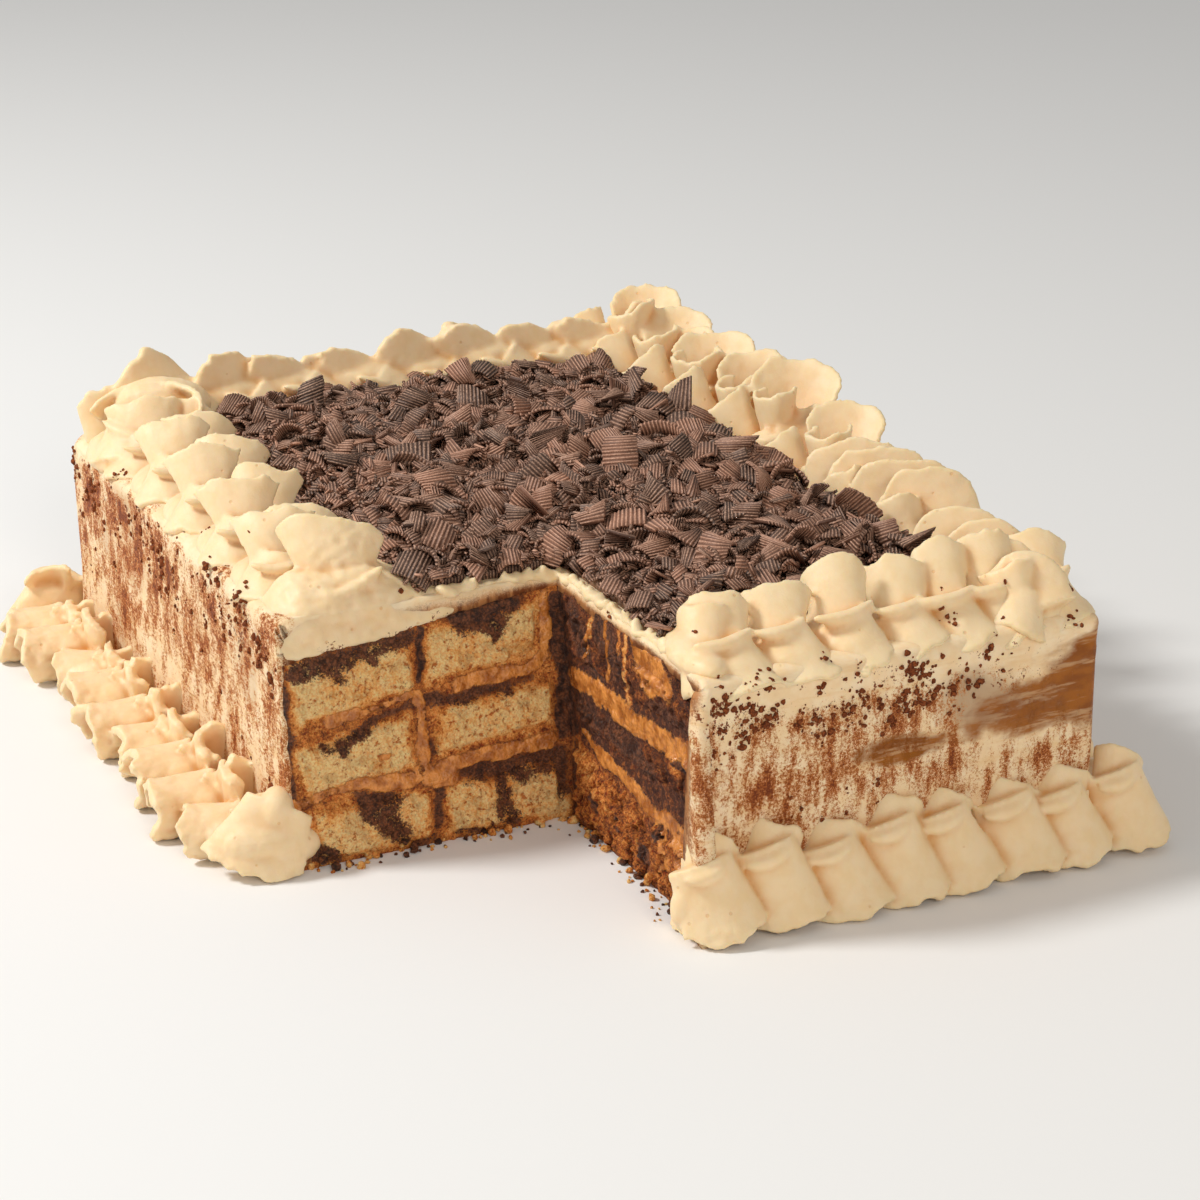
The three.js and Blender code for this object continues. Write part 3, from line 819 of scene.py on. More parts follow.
bare = np.maximum(bare, 1.1 * blot(shaped, (40, -134, 40), (16, 20, 5)))
grey = 0.9 * blot(shaped, (62, -134, 50), (12, 20, 9))  # the crescent that the knife left on the front
grey = grey + 0.4 * on_left * ramp(noise(shaped, (9, 14, 22), 27), 0.35, 0.7)
for name, values in (("cocoa", cocoa), ("dust", dust), ("caramel", bare), ("grey", grey)):
    paint(coat, name, np.clip(values, 0, 1))

# The clots further on sit under the piping, most of them on the front, and none on bare caramel.
clot_band = ramp(z, 42, 56) * (1 - 0.7 * ramp(z, 62, 67)) + 0.06
clot_share = clot_band * (0.5 + 0.5 * noise(shaped, (9, 9, 9), 28)) * (1 - 0.85 * bare)
clot_share *= on_front * ramp(-x, -78, -50) + 0.36 * on_left + 0.2 * wall * ramp(y, 120, 130)

# %% Give the skin its thickness, and soften its edges
def from_cut(x, y):
    """How far a place is from the missing corner; negative inside it."""
    dx, dy = x - CUT_X, y - CUT_Y
    return np.where((dx < 0) & (dy < 0), np.maximum(dx, dy), np.hypot(np.maximum(dx, 0), np.maximum(dy, 0)))


def left_cut_of(points):
    """Y measured as if the leaning cut face stood upright."""
    return points[:, 1] + CUT_LEAN * (1 - points[:, 2] / HEIGHT) * (points[:, 0] < CUT_X)


use(coat, "SOLIDIFY", thickness=WALL_CREAM * MM, offset=-1, use_even_offset=True, use_rim=True)
skin = read_points(coat)
skin[:, 2] = np.maximum(skin[:, 2], 0.0)
top_inside = (np.abs(skin[:, 0]) < HALF_WIDTH - WALL_CREAM) & (np.abs(skin[:, 1]) < HALF_LENGTH - WALL_CREAM)
top_inside &= (skin[:, 2] < HEIGHT - 3) & (skin[:, 2] > HEIGHT - 8)
# Beside the left cut the cream of the top grows thicker towards the wall.
sag = np.clip((CUT_X - 12 - skin[:, 0]) / 60, -0.1, 1) * 5.5 - 1.6
beside = np.clip(1 - (skin[:, 1] - CUT_Y) / 10, 0, 1) * (skin[:, 0] < CUT_X + 2)
thicker = (TOP_CREAM - WALL_CREAM) + sag * beside + 0.6 * noise(skin, 5.0, 31) * beside
skin[top_inside, 2] -= thicker[top_inside]
write_points(coat, skin)
within = np.arange(len(skin)) >= len(shaped)  # Solidify adds the inner points after the outer ones
near_cut = ramp(-np.abs(from_cut(skin[:, 0], left_cut_of(skin))), -5.0, -1.5)
paint(coat, "stain", within * near_cut)
hand_over(coat, coat_finish, "coat", "cream_coat")

# %% [markdown]
# ## The cut faces
#
# A knife has opened the cake on two sides. What shows there is worked out first as plain functions of
# a place on a face, so that the biscuits and the caramel between them agree. The corners of each
# biscuit's end, the runs of coffee and the runs of caramel all stand where the photograph has them.

# %% The corners of each cut end
# Upper left, upper right, lower right and lower left, as (place along the face, height). Along the
# face towards -Y the place is X; along the face towards -X it is Y.
ENDS = {
    "top_1": ("left", [(-99, 57), (-61.8, 60), (-62, 42.8), (-98, 37.8)]),
    "top_2": ("left", [(-60.4, 60), (-24.8, 63), (-25.4, 47), (-60, 43.6)]),
    "middle_1": ("left", [(-99.5, 33), (-63.3, 38.6), (-63.8, 21.6), (-98.5, 19)]),
    "middle_2": ("left", [(-59.2, 37.6), (-20.6, 42), (-21.6, 26), (-58.6, 23.6)]),
    "bottom_1": ("left", [(-96.8, 16.8), (-59.2, 16.2), (-59.2, 0.3), (-94.5, 0.3)]),
    "bottom_2": ("left", [(-57.2, 16.6), (-20.3, 18.2), (-20.3, 0.3), (-57.2, 0.3)]),
    "top_3": ("right", [(-50, 66), (-76.5, 65), (-77.5, 47.5), (-54, 47)]),
    "top_4": ("right", [(-79.5, 64.5), (-130, 57.5), (-130, 50.5), (-80.5, 47.5)]),
    "middle_3": ("right", [(-57.5, 37), (-95.6, 39), (-95.6, 29), (-58.5, 29.5)]),
    "middle_4": ("right", [(-97, 39), (-130, 46.5), (-130, 33.5), (-97.6, 28)]),
    "bottom_3": ("right", [(-58.5, 24), (-103.2, 20.5), (-103.2, 0.3), (-60, 0.3)]),
    "bottom_4": ("right", [(-104.6, 20.5), (-129.5, 20), (-129.5, 0.3), (-104.6, 0.3)]),
}

# %% Where coffee, caramel and pale crumb show
# Each row is one run: from (place, height) to (place, height), its half width and its strength.
COFFEE_RUNS = {
    "left": [
        (-101.5, 57, -100.5, 12, 1.8, 0.95), (-103, 36, -101, 21, 2.2, 1),
        (-97, 54, -80, 56.2, 2.6, 0.95), (-80, 56.5, -64, 58.2, 2.2, 0.9),
        (-86.5, 53, -85, 50.5, 1.9, 0.85), (-76, 55.5, -74, 54, 1.7, 0.85), (-61.1, 60, -61.3, 46, 0.9, 1.1),
        (-90, 32, -84, 31.5, 1.5, 0.8), (-85.5, 32.5, -84.5, 30, 2.1, 1), (-84, 32.5, -74, 36.5, 1.4, 0.95),
        (-74, 37, -64, 40.5, 1, 0.72), (-80, 15, -70, 14.5, 2.6, 0.95), (-78, 12, -70.5, 6, 3, 0.95),
        (-76, 10, -71, 12, 2.8, 0.9), (-57.9, 17, -58.5, 4, 1.4, 0.95), (-103, 8, -90, 2, 2.4, 1),
        (-50, 64, -34, 63, 2.8, 1.15), (-48, 60.5, -38, 58, 3.2, 1.1), (-43, 58, -38, 54.5, 1.9, 0.95),
        (-62, 39.6, -35, 38.8, 1.6, 0.86), (-35, 39.5, -28, 42, 1.3, 0.7), (-19.8, 62, -19.6, 24, 1.8, 1.05),
        (-60.2, 28, -58.4, 24, 1.2, 0.85), (-49, 18.2, -21, 17.4, 3.2, 0.82), (-40, 16, -38, 3, 2.6, 0.9),
        (-47.5, 20, -46, 16.5, 1.6, 0.95), (-36, 17, -33, 15, 2, 1), (-22, 18, -20, 8, 2, 0.85),
        (-66, 1.5, -60, 1, 1.2, 0.7), (-53, 1.5, -42, 1, 1, 0.7),
    ],
    "right": [
        (-47, 62, -55, 36, 3.8, 1.1), (-58, 60, -66, 52, 4, 0.85), (-74, 62, -84, 55, 4.5, 0.85),
        (-70, 47.5, -75, 46, 1.6, 1), (-56.5, 29, -57, 27, 2.4, 1.4), (-118, 40.4, -134, 38.2, 1.1, 1.4),
        (-63, 36, -74, 33, 3, 0.85), (-80, 36, -104, 33, 3, 0.75), (-129.5, 24, -128, 21, 2.3, 1.2),
        (-111, 18.5, -110.5, 15.5, 1.7, 1.15), (-87, 11, -88, 8.5, 1.5, 1.1), (-101, 9, -103, 6, 1.6, 0.95),
        (-72, 12, -74, 9, 1.4, 0.9), (-59, 22, -59, 3, 1.8, 0.7), (-104, 52.5, -134, 52.5, 2.2, 0.6),
    ],
}
CARAMEL_RUNS = {
    "left": [
        (-87.5, 38.2, -81, 39.4, 1.5, 1.05), (-79, 39, -64, 42.5, 0.9, 0.8),
        (-74, 27.4, -70.5, 27.4, 0.8, 0.9), (-96, 18.6, -82, 20.2, 1.2, 0.8),
        (-83, 20.4, -66, 19.6, 2, 1.05), (-62.4, 41, -61.6, 19, 1.6, 1.15),
        (-98.2, 17.6, -98.2, 10.5, 1.4, 1), (-23.2, 63.5, -24, 47, 1.4, 1.15),
        (-24, 47, -31, 44, 1.7, 1),
        (-50, 42.6, -27, 44.6, 1.9, 1.1), (-58, 20.6, -50, 21.2, 2.2, 1.1), (-50, 21.4, -23, 23.2, 2.1, 1.12),
        (-62, 19.5, -54, 17.5, 2.2, 1), (-66, 21, -62, 24, 1.3, 0.8),
    ],
    "right": [
        (-56, 41.5, -74, 42.5, 2.6, 1.1), (-74, 42.5, -100, 43, 3.3, 1.15),
        (-100, 43.4, -128, 46, 2.9, 1.15), (-64, 27.5, -74, 25.6, 1.5, 0.95),
        (-74, 25.6, -90, 25, 2.2, 1.1), (-90, 24.6, -104, 21.2, 2.1, 1.15),
        (-104, 21.4, -121, 23.2, 2.1, 1.1), (-120, 22, -131, 11, 2.2, 1.1), (-97, 67, -103, 60, 4.6, 1.2),
        (-104, 63, -112, 58.5, 3.4, 1.2), (-131.5, 37, -132.5, 18, 2.4, 1.2), (-112, 20, -114, 9, 1.5, 1),
        (-78, 66, -78.2, 50, 0.9, 0.9), (-68, 60, -66, 50, 0.8, 0.75), (-122, 14, -126, 3, 2, 1),
    ],
}
PALE_RUNS = {
    "left": [(-52, 12, -44, 5, 3.2, 0.62), (-31, 12, -23, 4, 4.6, 0.98), (-52.5, 14, -50, 3, 2, 0.6)],
    "right": [
        (-120, 43.6, -135, 45.5, 3.6, 0.66), (-70.5, 65, -68.6, 58, 0.8, 0.8), (-88, 66, -91, 48, 1, 0.66),
        (-84, 64, -85, 58, 0.7, 0.6), (-60, 21, -80, 14, 4, 0.5),
    ],
}


def run_field(place, height, runs, seed):
    """How strongly the nearest runs reach each point of a face, from 0 to about 1."""
    points = np.column_stack([place, height, np.zeros(len(place))])
    spot = points[:, :2] + 2.4 * np.column_stack([
        layered_noise(points, 7.0, seed, 5), layered_noise(points, 7.0, seed + 1, 5)
    ])
    total = np.zeros(len(place))
    for x0, z0, x1, z1, half_width, strength in runs:
        start, line = np.array([x0, z0], float), np.array([x1 - x0, z1 - z0], float)
        t = np.clip(((spot - start) @ line) / (line @ line), 0, 1)
        gap = np.linalg.norm(spot - start - t[:, None] * line, axis=1) / half_width
        total = np.maximum(total, strength * ramp(-gap, -1.9, -0.4))
    return total


def inside(place, height, corners):
    """How far each point is inside a four-cornered end, in millimetres; negative outside."""
    corners = np.array(corners)
    middle = corners.mean(axis=0)
    nearest = np.full(len(place), 1e3)
    for a, b in zip(corners, np.roll(corners, -1, axis=0)):
        edge = b - a
        normal = np.array([-edge[1], edge[0]]) / np.hypot(*edge)
        normal *= np.sign((middle - a) @ normal)
        nearest = np.minimum(nearest, (np.column_stack([place, height]) - a) @ normal)
    return nearest


def face_paint(face, place, height):
    """The values that the finish of the cut needs, for points of one face."""
    is_left = face == "left"
    points = np.column_stack([place, height, np.full(len(place), 7.0 if is_left else 31.0)])
    patches = layered_noise(points, 6.0, 143, 4)
    deepest = np.full(len(place), -9.0)
    for side, corners in ENDS.values():
        if side == face:
            deepest = np.maximum(deepest, inside(place, height, corners))
    soaked = 0.38 + 0.20 * patches
    if is_left:
        dry = 0.94 + 0.42 * layered_noise(points, 9.0, 147)
    else:
        soaked = 0.04 + 0.10 * patches + 0.22 * ramp(-height, -25, -21)
        dry = soaked + 0.06
    pale = soaked + (dry - soaked) * ramp(deepest + 2.2 * layered_noise(points, 8.0, 141, 4), -0.8, 3.8)
    pale = np.maximum(pale, run_field(place, height, PALE_RUNS[face], 61))
    coffee = run_field(place, height, COFFEE_RUNS[face], 51 if is_left else 53)
    caramel = run_field(place, height, CARAMEL_RUNS[face], 57 if is_left else 59)
    caramel = caramel * (0.82 + 0.5 * layered_noise(points, 4.6, 149, 4))
    return dict(pale=pale, coffee=0.8 * coffee * (1 - 0.7 * ramp(caramel, 0.5, 0.9)), caramel=caramel)


def crumb_relief(points, seed):
    """The rough surface that a knife leaves on crumb, in millimetres."""
    grain = 0.42 * noise(points, 1.1, seed) + 0.40 * noise(points, 2.1, seed + 1)
    return grain + 0.5 * layered_noise(points, 5.0, seed + 2)


def cream_edge(face, place):
    """How far down the cream of the top reaches over a face."""
    if face == "left":
        return np.interp(place, [-99, -67, -45, -24], [56.5, 60.0, 62.6, 65.2])
    return np.interp(place, [-134, -119, -110, -48], [56.0, 59.5, 66.0, 65.4])


print("cut faces:", len(ENDS), "biscuit ends")

# %% [markdown]
# ## The caramel
#
# The filling runs through the whole cake, between and round the biscuits. Its front is one fine sheet
# that turns the corner from one cut face to the other; the rest is only a block behind it, hidden by
# the coat, so it needs a few faces. The sheet stands back a little where biscuits press through it,
# and forward where caramel has run and dripped.


# %% A sheet that turns the corner
SHEET_START = -HALF_WIDTH + 1.0  # the soaked crumb reaches almost through the wall of cream
SHEET_TURN = CUT_X - SHEET_START
SHEET_LENGTH = SHEET_TURN + 80.0
SHEET_STEP = 0.52
CARAMEL_TOP = 66.8
RIM = 1e-4  # how near -1 or 1 a grid's point is when it lies on its rim


def sheet_point(place, height):
    """A point of the cut: place runs along the left face from its outer end, then along the right one."""
    on_first = place <= SHEET_TURN
    x = np.where(on_first, place + SHEET_START, CUT_X)
    y_corner = left_cut_y(height)
    y_end = -HALF_LENGTH + 1.5
    share = np.clip((place - SHEET_TURN) / (SHEET_LENGTH - SHEET_TURN), 0, 1)
    y = np.where(on_first, y_corner, y_corner + (y_end - y_corner) * share)
    return np.column_stack([x, y, height])


wide, tall = round(SHEET_LENGTH / SHEET_STEP), round(CARAMEL_TOP / SHEET_STEP)
caramel, flat = new_grid("caramel", wide, tall)
place = (flat[:, 0] + 1) / 2 * SHEET_LENGTH
base = sheet_point(place, (flat[:, 1] + 1) / 2 * CARAMEL_TOP)
on_left_face = place <= SHEET_TURN
x, y, z = base.T
left_paint, right_paint = face_paint("left", x, z), face_paint("right", y, z)
painted = {name: np.where(on_left_face, left_paint[name], right_paint[name]) for name in left_paint}
glazed = np.clip(painted["caramel"], 0, 1)
rise = 0.5 * glazed * (1 + 0.9 * layered_noise(base, 3.5, 43)) - 0.6
rise += crumb_relief(base, 161) * (1 - 0.75 * glazed) - 0.4 * painted["coffee"]
# Near the cream the sheet stands in front of the coat's cut edge, then slips behind it on a ragged line.
fray = 1.3 * layered_noise(base, 5.0, 163, 4)
to_cream = np.where(on_left_face, cream_edge("left", x), cream_edge("right", y)) - z
to_cream = np.minimum(to_cream, np.minimum(place - 0.9, (SHEET_LENGTH - place) - 2.0)) + fray
rise = np.where(to_cream < 6, np.maximum(rise, 0.25 + 0.4 * rise), rise) - 3.0 * ramp(-to_cream, -0.6, 1.4)
front = base.copy()
front[:, 1] -= np.where(on_left_face, rise, 0)
front[:, 0] -= np.where(on_left_face, 0, rise)
at_start = place < 0.1  # folds back behind the wall
front[:, 0] = np.where(at_start, 1.0 - HALF_WIDTH + WALL_CREAM, front[:, 0])
front[:, 1] += np.where(at_start, 4.0, 0)
front[:, 2] = np.minimum(front[:, 2], 56 + 3.0 * place)
front[:, 2] = np.where(flat[:, 1] < RIM - 1, 0, front[:, 2])
write_points(caramel, front)
for name, values in painted.items():
    paint(caramel, name, np.clip(values, 0, 1.2))
paint(caramel, "hollow", np.zeros(len(front)))

# %% Close the block behind the sheet
work = bmesh.new()
work.from_mesh(caramel.data)
work.verts.ensure_lookup_table()


def rim(on_rim, along):
    """The points of one rim of the sheet, in order along it."""
    numbers = np.flatnonzero(on_rim)
    return [work.verts[k] for k in numbers[np.argsort(along[numbers], kind="stable")]]


u, v = flat[:, 0], flat[:, 1]
rims = {
    "foot": rim(v < RIM - 1, u), "head": rim(v > 1 - RIM, u),
    "first": rim(u < RIM - 1, v), "last": rim(u > 1 - RIM, v),
}
turn = np.count_nonzero((v > 1 - RIM) & on_left_face)  # where a level rim turns the corner of the cut
inner_x, inner_y = HALF_WIDTH - WALL_CREAM, HALF_LENGTH - WALL_CREAM
CORNERS = {
    "right_front": (inner_x, -inner_y),
    "right_back": (inner_x - 3, inner_y - 3),
    "left_back": (4 - inner_x, inner_y - 4),
}
far = {
    (name, level): work.verts.new(Vector((*spot, height)) * MM)
    for name, spot in CORNERS.items()
    for level, height in (("low", 0.0), ("high", HEIGHT - TOP_CREAM))
}


def fan_faces(row, hub):
    """Triangles from each stretch of a row to one point behind it."""
    for near, beyond in zip(row, row[1:]):
        work.faces.new([near, beyond, hub])


for row_name, level in (("head", "high"), ("foot", "low")):
    row = rims[row_name]
    right_front, right_back, left_back = (far[name, level] for name in CORNERS)
    fan_faces(row[:turn], left_back)
    work.faces.new([row[turn - 1], right_back, left_back])
    fan_faces(row[turn - 1:], right_back)
    work.faces.new([row[-1], right_front, right_back])
fan_faces(rims["first"], far["left_back", "low"])
work.faces.new([rims["first"][-1], far["left_back", "high"], far["left_back", "low"]])
fan_faces(rims["last"], far["right_front", "low"])
work.faces.new([rims["last"][-1], far["right_front", "high"], far["right_front", "low"]])
for near, beyond in (("right_front", "right_back"), ("right_back", "left_back")):
    work.faces.new([far[near, "low"], far[beyond, "low"], far[beyond, "high"], far[near, "high"]])
bmesh.ops.recalc_face_normals(work, faces=work.faces)
work.to_mesh(caramel.data)
work.free()
hand_over(caramel, caramel_finish, "caramel", "caramel_filling")

# %% [markdown]
# ## The biscuits
#
# Each row of sponge biscuits runs through the cake, but only its cut end shows. That end is a fine
# grid, drawn to the four corners that the biscuit has in the photograph, with soft corners and a
# crumbly outline. Its surface bulges a little and falls away at the rim, where the caramel closes over
# it, and it is pitted with pores. The rest of the row is a plain bar behind it.

# %% Pieces of sponge
COARSE = {"bottom_3": 2.3, "bottom_4": 2.0, "middle_4": 1.3, "middle_3": 0.6, "top_3": 0.6, "top_4": 0.6}
END_STEP = 0.42
SOFT_CORNER = 3.6
BAR_LENGTH = {  # from the cut face to just inside the far wall
    "left": HALF_LENGTH - WALL_CREAM - 2 - CUT_Y,
    "right": HALF_WIDTH - WALL_CREAM - 2 - CUT_X,
}


def biscuit(name, face, corners):
    """One row of biscuits: a detailed cut end with a plain bar behind it."""
    corners = np.array(corners)
    wide = np.linalg.norm(corners[1] - corners[0])
    tall = np.linalg.norm(corners[3] - corners[0])
    columns, rows = (max(8, round(side / END_STEP)) for side in (wide, tall))
    piece, cells = new_grid(f"biscuit_{name}", columns, rows)
    u, v, _ = cells.T
    half = np.array([wide, tall]) / 2
    flat = np.column_stack([u, v]) * half
    kernel = np.clip(flat, SOFT_CORNER - half, half - SOFT_CORNER)
    offset = flat - kernel
    longest, straight = np.abs(offset).max(axis=1), np.hypot(*offset.T)
    flat = kernel + offset * (longest / np.maximum(straight, 1e-9))[:, None]
    edge_gap = np.minimum((1 - np.abs(u)) * half[0], (1 - np.abs(v)) * half[1])
    u, v = flat[:, 0] / half[0], flat[:, 1] / half[1]
    upper = corners[0] + (corners[1] - corners[0]) * ((u + 1) / 2)[:, None]
    lower = corners[3] + (corners[2] - corners[3]) * ((u + 1) / 2)[:, None]
    spot = lower + (upper - lower) * ((v + 1) / 2)[:, None]
    seed = 60 + 7 * list(ENDS).index(name)
    probe = np.column_stack([spot, np.zeros(len(spot))])
    crumble = ramp(-edge_gap, -4, 0)[:, None]
    fray = np.column_stack([layered_noise(probe, 4, seed), layered_noise(probe, 4, seed + 1)])
    spot = spot + crumble * 1.5 * fray
    spot[:, 1] = np.maximum(spot[:, 1], 0.2)
    coarse = COARSE.get(name, 0.0)
    holes = ramp(noise(probe, 3.0, seed + 4) + 0.5 * noise(probe, 1.5, seed + 6), 0.15, 0.6)
    bulge = 0.9 - 2.0 * ramp(-edge_gap, -3.2, 0) + crumb_relief(probe, seed + 2) * (1 + 0.5 * coarse)
    bulge -= (0.5 + 1.4 * coarse) * holes
    painted = face_paint(face, spot[:, 0], spot[:, 1])
    bulge -= 0.7 * np.clip(painted["coffee"], 0, 1) * (1 - 0.4 * coarse)
    bulge += 0.3 * np.clip(painted["caramel"], 0, 1)
    if face == "left":
        points = np.column_stack([spot[:, 0], left_cut_y(spot[:, 1]) - bulge, spot[:, 1]])
        back = np.array([0, 1, 0])
    else:
        points = np.column_stack([CUT_X - bulge, spot[:, 0], spot[:, 1]])
        back = np.array([1, 0, 0])
    write_points(piece, points)
    for title, values in painted.items():
        paint(piece, title, np.clip(values, 0, 1.2))
    # painted shade in the holes, strongest where the crumb is coarse
    paint(piece, "hollow", np.clip(holes * min(1.0, 0.25 + coarse), 0, 1))
    # Draw the outline back into the cake as a bar, and close its far end.
    pick(piece)
    bpy.ops.object.mode_set(mode="EDIT")
    bpy.ops.mesh.select_all(action="DESELECT")
    work = bmesh.from_edit_mesh(piece.data)
    for edge in work.edges:
        edge.select_set(edge.is_boundary)
    bpy.ops.mesh.extrude_edges_move(TRANSFORM_OT_translate={"value": tuple(back * BAR_LENGTH[face] * MM)})
    bpy.ops.mesh.edge_face_add()
    bpy.ops.mesh.select_all(action="SELECT")
    bpy.ops.mesh.quads_convert_to_tris()
    bpy.ops.mesh.normals_make_consistent(inside=False)
    bpy.ops.object.mode_set(mode="OBJECT")
    hand_over(piece, sponge_finish, "sponge", f"biscuits_{name}")


for name, (face, corners) in ENDS.items():
    biscuit(name, face, corners)

# %% [markdown]
# Crumbs have fallen along the foot of both cut faces. One lump is modelled, an icosphere, and strewn
# as copies from one to four millimetres across, each with its points pushed about in its own way.

# %% Crumbs at the foot of the cut
deselect()
bpy.ops.mesh.primitive_ico_sphere_add(subdivisions=2, radius=1)
LUMP, LUMP_FACES = take_shape(bpy.context.object)
CRUMBS = 150


def lump(number, seed):
    """A lump with a half width of about one, different for each number."""
    return LUMP * (1 + 0.38 * noise(LUMP * 1.6 + 9.7 * number, 1.0, seed))[:, None]


draw = np.random.default_rng(401)
points, faces, shades = [], [], []
for k in range(CRUMBS):
    size = 0.35 + 1.15 * draw.random() ** 2.6
    body = lump(k, 171) * draw.uniform(0.7, 1.25, 3) * size
    out = abs(draw.normal(0, 1.7)) * (1.8 if size < 0.9 else 1) - 0.6  # small crumbs fall further off
    if draw.random() < 0.55:
        spot = (draw.uniform(-98, CUT_X), left_cut_y(0) - out)
    else:
        spot = (CUT_X - out, draw.uniform(-128, left_cut_y(0)))
    high = max(0.0, draw.normal(0, 1.6)) if out < 0.6 else 0.0
    body[:, 2] = np.maximum(body[:, 2] + (size * 0.55 + high), 0)
    points.append(body + (*spot, 0))
    faces.append(LUMP_FACES + k * len(LUMP))
    shades.append(np.full(len(LUMP), draw.random()))
crumbs = mesh_piece("crumbs", np.concatenate(points), np.concatenate(faces))
shades = np.concatenate(shades)
paint(crumbs, "pale", 0.2 + 0.7 * shades)
paint(crumbs, "coffee", np.where(shades < 0.42, 0.9, 0.0))
for name in ("caramel", "hollow"):
    paint(crumbs, name, np.zeros(len(shades)))
hand_over(crumbs, sponge_finish, "sponge")

# %% [markdown]
# ## The piping
#
# Piped cream is a ribbon that folds over itself as the nozzle moves to and fro. Two shapes are enough
# to build every ruffle: a sheet, which is a grid with a thickness that is bent round a cone, and a
# roll, which is a ball that is stretched along a line. Each is modelled once, and every petal, lobe
# and band is a bent copy. A voxel Remesh then fuses a whole run into one skin, as cream does when it
# touches, and smoothing rounds the joins.

# %% The two starting shapes
slab, _ = new_grid("slab", 18, 12)
use(slab, "SOLIDIFY", thickness=2.0, offset=0)
use(slab, "TRIANGULATE")
SLAB, SLAB_FACES = take_shape(slab)
deselect()
bpy.ops.mesh.primitive_uv_sphere_add(segments=16, ring_count=10, radius=1)
ball = bpy.context.object
use(ball, "TRIANGULATE")
BALL, BALL_FACES = take_shape(ball)
print("slab", len(SLAB), "points; ball", len(BALL), "points")


# %% Bending them
class Dough:
    """Collects the bent copies of one run, in the run's own directions: back along the lean, across
    the border and up."""

    def __init__(self, seed):
        self.points, self.faces, self.count, self.seed = [], [], 0, seed
        self.draw = np.random.default_rng(seed)

    def about(self, value):
        """A plain number as it is, or for (number, share) the number give or take that share of it."""
        if not isinstance(value, tuple):
            return value
        number, share = value
        return number * (1 + share * (2 * self.draw.random() - 1))

    def add(self, points, faces):
        self.points.append(points)
        self.faces.append(faces + self.count)
        self.count += len(points)

    def sheet(self, form, thickness):
        """form(u, v) gives the middle of the sheet; u runs from -1 to 1 across it, v from 0 to 1 up it."""
        u, v, side = SLAB[:, 0], (SLAB[:, 1] + 1) / 2, SLAB[:, 2]
        step = 0.01
        normal = np.cross(form(u + step, v) - form(u - step, v), form(u, v + step) - form(u, v - step))
        length = np.linalg.norm(normal, axis=1, keepdims=True)
        normal = normal / np.maximum(length, 1e-9)
        self.add(form(u, v) + normal * (side * thickness(u, v) / 2)[:, None], SLAB_FACES)

    def petal(
        self, foot, rise, face, radii, length, sweep, flat=0.75, curl=0.0, ragged=0.08, thick=(3.4, 1.6),
        twist=0.0, wobble=0.0, round_top=0.18,
    ):
        """A petal bent round a cone. It starts at foot and grows along rise; its swollen side looks
        towards face; radii are the cone's at the foot and the tip; sweep is the angle to each side, in
        degrees; curl throws the tip back, away from face; wobble makes the twist uneven from one petal
        to the next. The radius of the tip, length, sweep, curl and twist may be (number, share)."""
        tip, length, sweep = self.about(radii[1]), self.about(length), math.radians(self.about(sweep))
        curl, twist = self.about(curl), self.about(twist)
        if wobble:
            twist += self.draw.normal(0, wobble)
        foot, rise = np.asarray(foot, float), unit(rise)
        face = unit(np.asarray(face, float) - np.dot(face, rise) * rise)
        side = np.cross(rise, face)
        self.seed += 1
        seed = self.seed

        def form(u, v):
            v = np.maximum(v, 0)
            angle = u * sweep + twist * v
            radius = radii[0] + (tip - radii[0]) * v**1.3
            probe = np.column_stack([u * 3.1, v * 0, v * 0])
            fray = 1 + ragged * (noise(probe, 1.0, seed) + 0.6 * noise(probe * 3, 1.0, seed + 1))
            reach = length * v * (1 - round_top * np.abs(u) ** 2.4) * (1 + (fray - 1) * v**2)
            thrown = curl * length * v**2.6
            out = radius * (np.cos(angle) - 1) * flat - thrown
            wide = radius * np.sin(angle)
            return foot + reach[:, None] * rise + out[:, None] * face + wide[:, None] * side

        def thickness(u, v):
            return (thick[0] + (thick[1] - thick[0]) * v**0.7) * (1 - 0.3 * np.abs(u) ** 3)

        self.sheet(form, thickness)

    def roll(self, middle, along, half_length, radii, bow=(0, 0, 0), face=(0, 0, 1)):
        """A roll of cream: radii are its half thicknesses towards face and at right angles to it, and
        bow is how far its middle stands off the straight line."""
        along, half_length = unit(along), self.about(half_length)
        face = unit(np.asarray(face, float) - np.dot(face, along) * along)
        side = np.cross(along, face)
        t = BALL[:, 2]
        bowed = np.asarray(bow, float) * (1 - t**2)[:, None]
        self.add(
            np.asarray(middle, float) + bowed + half_length * t[:, None] * along
            + radii[0] * BALL[:, :1] * face + radii[1] * BALL[:, 1:2] * side,
            BALL_FACES,
        )


# %% [markdown]
# The four sides have the directions and the rhythm of the solids, so each ruffle stands where its
# solid does. `scatter` is the same repeatable draw that placed them.

# %% The sides and their rhythm
SIDES = {
    "left": dict(turn=math.pi, half=HALF_LENGTH, out=HALF_WIDTH),
    "back": dict(turn=math.pi / 2, half=HALF_WIDTH, out=HALF_LENGTH),
    "right": dict(turn=0.0, half=HALF_LENGTH, out=HALF_WIDTH),
    "front": dict(turn=-math.pi / 2, half=HALF_WIDTH, out=HALF_LENGTH),
}
TOP_PLACES = {  # where each ruffle of the top border stands along its side
    "left": [-94, -69, -40, -11, 16],
    "back": [-96, -75, -55, -35, -15, 8, 33, 52, 74, 96],
    "right": [-121, -97, -67, -40, -12, 18, 44, 71, 97, 117],
    "front": [-7, 10, 29, 46, 60, 75, 91],
}


def scatter(n):
    value = math.sin(n * 12.9898 + 4.1414) * 43758.5453
    return value - math.floor(value)


